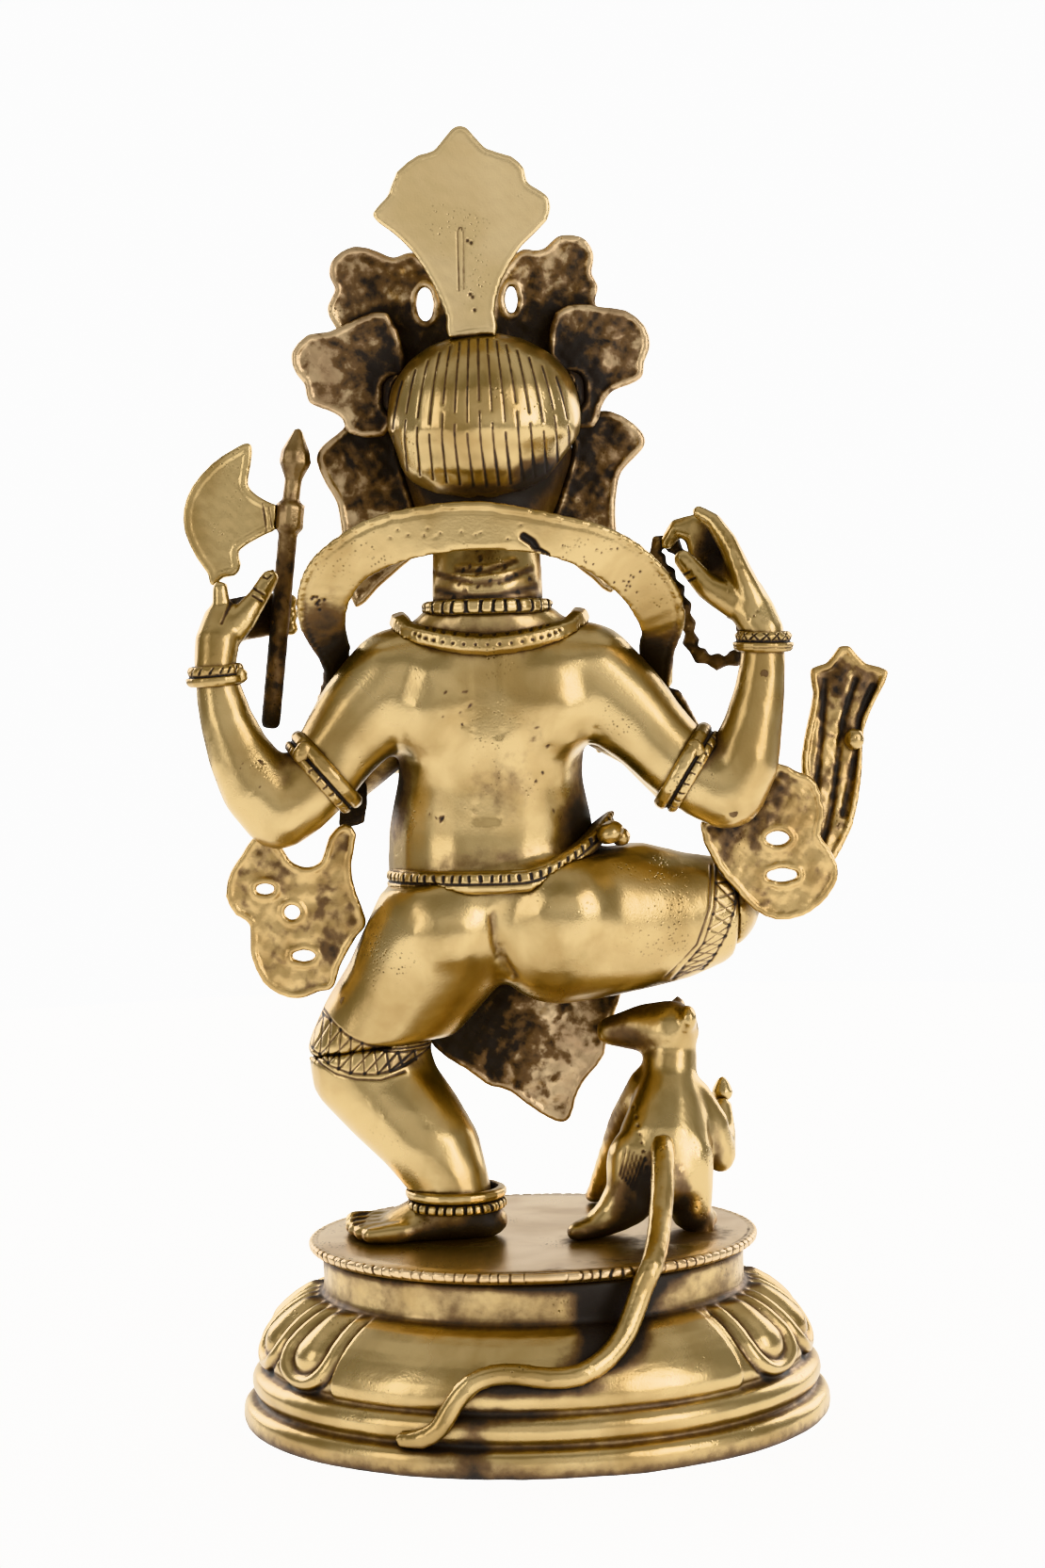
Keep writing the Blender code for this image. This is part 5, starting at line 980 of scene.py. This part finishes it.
def unevenPedestal(piece):
    # hand filing, worn mouldings, and the dark in the grooves and under the deck's rim, partly patina and
    # partly painted shade
    points, normals = pointsOf(piece), normalsOf(piece)
    out = np.hypot(points[:, 0], points[:, 1] / pedestal["flat"]) > 53
    uneven = 0.16 * wobble(points, 26, 2) + 0.05 * wobble(points, 7, 2)
    movePoints(piece, points + normals * (uneven * out)[:, None])
    height = points[:, 2]
    groove = sum(np.exp(-(((height - place) / 0.75) ** 2)) for place in (7.5, 15.3))
    groove += 0.9 * np.exp(-(((height - 34.0) / 0.9) ** 2)) + 0.8 * np.exp(-(((height - 43.4) / 0.9) ** 2))
    shift = 0.5 + 0.5 * wobble(points, 30, 2)
    drum = smooth(height, 33.0, 34.5) * (height < 43.8)
    addToStainAndShade(piece, out * drum * (0.24 + 0.14 * wobble(points, 16, 3)))
    addToStainAndShade(piece, out * groove * (0.30 + 0.45 * shift))


unevenPedestal(base)
for place, size, amount in (
    ((-19, 48, 39), (9, 12, 8), 1.5), ((-26, 46, 40), (7, 10, 6), 1.1), ((-20, 50, 30), (8, 10, 7), 1.3),
    ((-6, 50, 43), (13, 10, 2), 0.5), ((-32, 42, 42), (8, 10, 3), 0.6), ((16, 63, 8), (4, 8, 7), 0.7),
    ((10, 63, 15), (13, 8, 2.5), 0.6), ((24, 58, 7), (10, 8, 2.5), 0.5), ((-4, 60, 21), (16, 8, 2), 0.7),
    ((8, 60, 22), (8, 8, 3), 0.5), ((-12, 52, 27), (8, 8, 5), 0.8), ((12, 60, 3), (12, 8, 3), 0.25),
):
    patch(base, place, size, amount)
settle(base, ["lotus_base"], "pedestal")

deck = {
    "flat": 0.8636, "around": 900, "ticks": 112,
    "profile": [
        (0, 44.0), (40, 44.0), (54.4, 44.0), (56.4, 44.4), (57.6, 45.0), (58.05, 45.5), (58.2, 46.1),
        (58.15, 46.7), (57.8, 47.15), (57.2, 47.38), (56.6, 47.38), (56.2, 47.2), (55.8, 47.2),
        (55.4, 47.34),
    ],
    "tableFrom": 47, "tableReach": 55, "tickDepth": 0.45, "worn": 0.10,
}
deckProfile = deck["profile"] + [(55.4 - 4.0 * k, 47.38) for k in range(1, 14)] + [(0, 47.38)]
plate = latheOval("deck_plate_cast", deckProfile, deck["around"], deck["flat"])


def workDeck(piece, look):
    # ticks filed round the rim, and a table worn a little hollow
    points, normals = pointsOf(piece), normalsOf(piece)
    reach = np.hypot(points[:, 0], points[:, 1] / look["flat"])
    angle = np.arctan2(points[:, 0], points[:, 1])
    pitch = 2 * pi / look["ticks"]
    turned = angle + 0.3 * pitch * wobble(points, 8, 2)
    gap = np.abs(turned / pitch - np.round(turned / pitch)) * pitch * reach
    rim = smooth(reach, 56.4, 56.9) * smooth(points[:, 2], 44.4, 44.9)
    strength = 0.55 + 0.45 * wobble(points, 22, 2).clip(-1, 1)
    cut = np.exp(-((gap / 0.34) ** 2)) * rim * strength.clip(0.15, 1)
    top = (points[:, 2] > look["tableFrom"]) * (reach < look["tableReach"])
    dip = look["worn"] * (wobble(points, 24, 2) - 1) * top
    up = np.array((0, 0, 1))
    movePoints(piece, points - normals * (look["tickDepth"] * cut)[:, None] + up * dip[:, None])
    addToStainAndShade(piece, 1.3 * cut + 0.5 * np.exp(-(((reach - 56.0) / 0.35) ** 2)) * (points[:, 2] > 46.5))


workDeck(plate, deck)
for place, size, amount in (
    ((-14, 12, 47), (10, 9, 5), 0.6), ((-32, 18, 47), (12, 10, 5), 0.5), ((-16, 38, 47), (11, 5, 5), 0.4),
    ((-30, 32, 47), (11, 8, 5), 0.55), ((30, 6, 47), (18, 8, 5), 0.4), ((16, 14, 47), (12, 6, 5), 0.35),
    ((8, 30, 47), (8, 8, 5), 0.15), ((-8, 46, 46), (22, 3, 5), 0.5), ((46, 2, 47), (6, 12, 5), 0.2),
    ((-44, 8, 47), (10, 12, 5), 0.5),
):
    patch(plate, place, size, amount)
settle(plate, ["deck_plate"], "deck")
print("pedestal turned")


# small things brazed on

knobs = {
    "leftArmletKnob": {"at": (55.0, 13.4, 174.6), "size": (2.2, 1.6, 3.0), "lean": -35},
    "rightArmletKnob": {"at": (-44.6, 13.8, 172.8), "size": (2.0, 1.6, 3.0), "lean": 30},
    "leftBraceletKnob": {"at": (70.6, 9.2, 194.2), "size": (1.9, 2.0, 2.2), "lean": 0},
    "beltKnot": {"at": (-22.4, 7.5, 151.6), "size": (3.6, 4.6, 2.8), "lean": 30},
    "beltKnotTail": {"at": (-25.2, 4.4, 150.2), "size": (2.4, 3.4, 2.4), "lean": 10},
    "sashKnob": {"at": (-87.0, -12.0, 172.4), "size": (2.6, 2.4, 2.8), "lean": 0},
}
for name, look in knobs.items():
    bpy.ops.mesh.primitive_uv_sphere_add(segments=40, ring_count=24, radius=1)
    knob = bpy.context.object
    knob.name = name
    knob.scale = [size * mm for size in look["size"]]
    knob.rotation_euler = (0, radians(look["lean"]), 0)
    knob.location = [place * mm for place in look["at"]]
    bpy.ops.object.transform_apply(location=True, rotation=True, scale=True)
    bpy.ops.object.shade_smooth()
    points, normals = pointsOf(knob), normalsOf(knob)
    movePoints(knob, points + normals * (0.14 * wobble(points, 3, 2))[:, None])
    addStainAndShade(knob)
    settle(knob, [], "engraved")
print("knobs set")
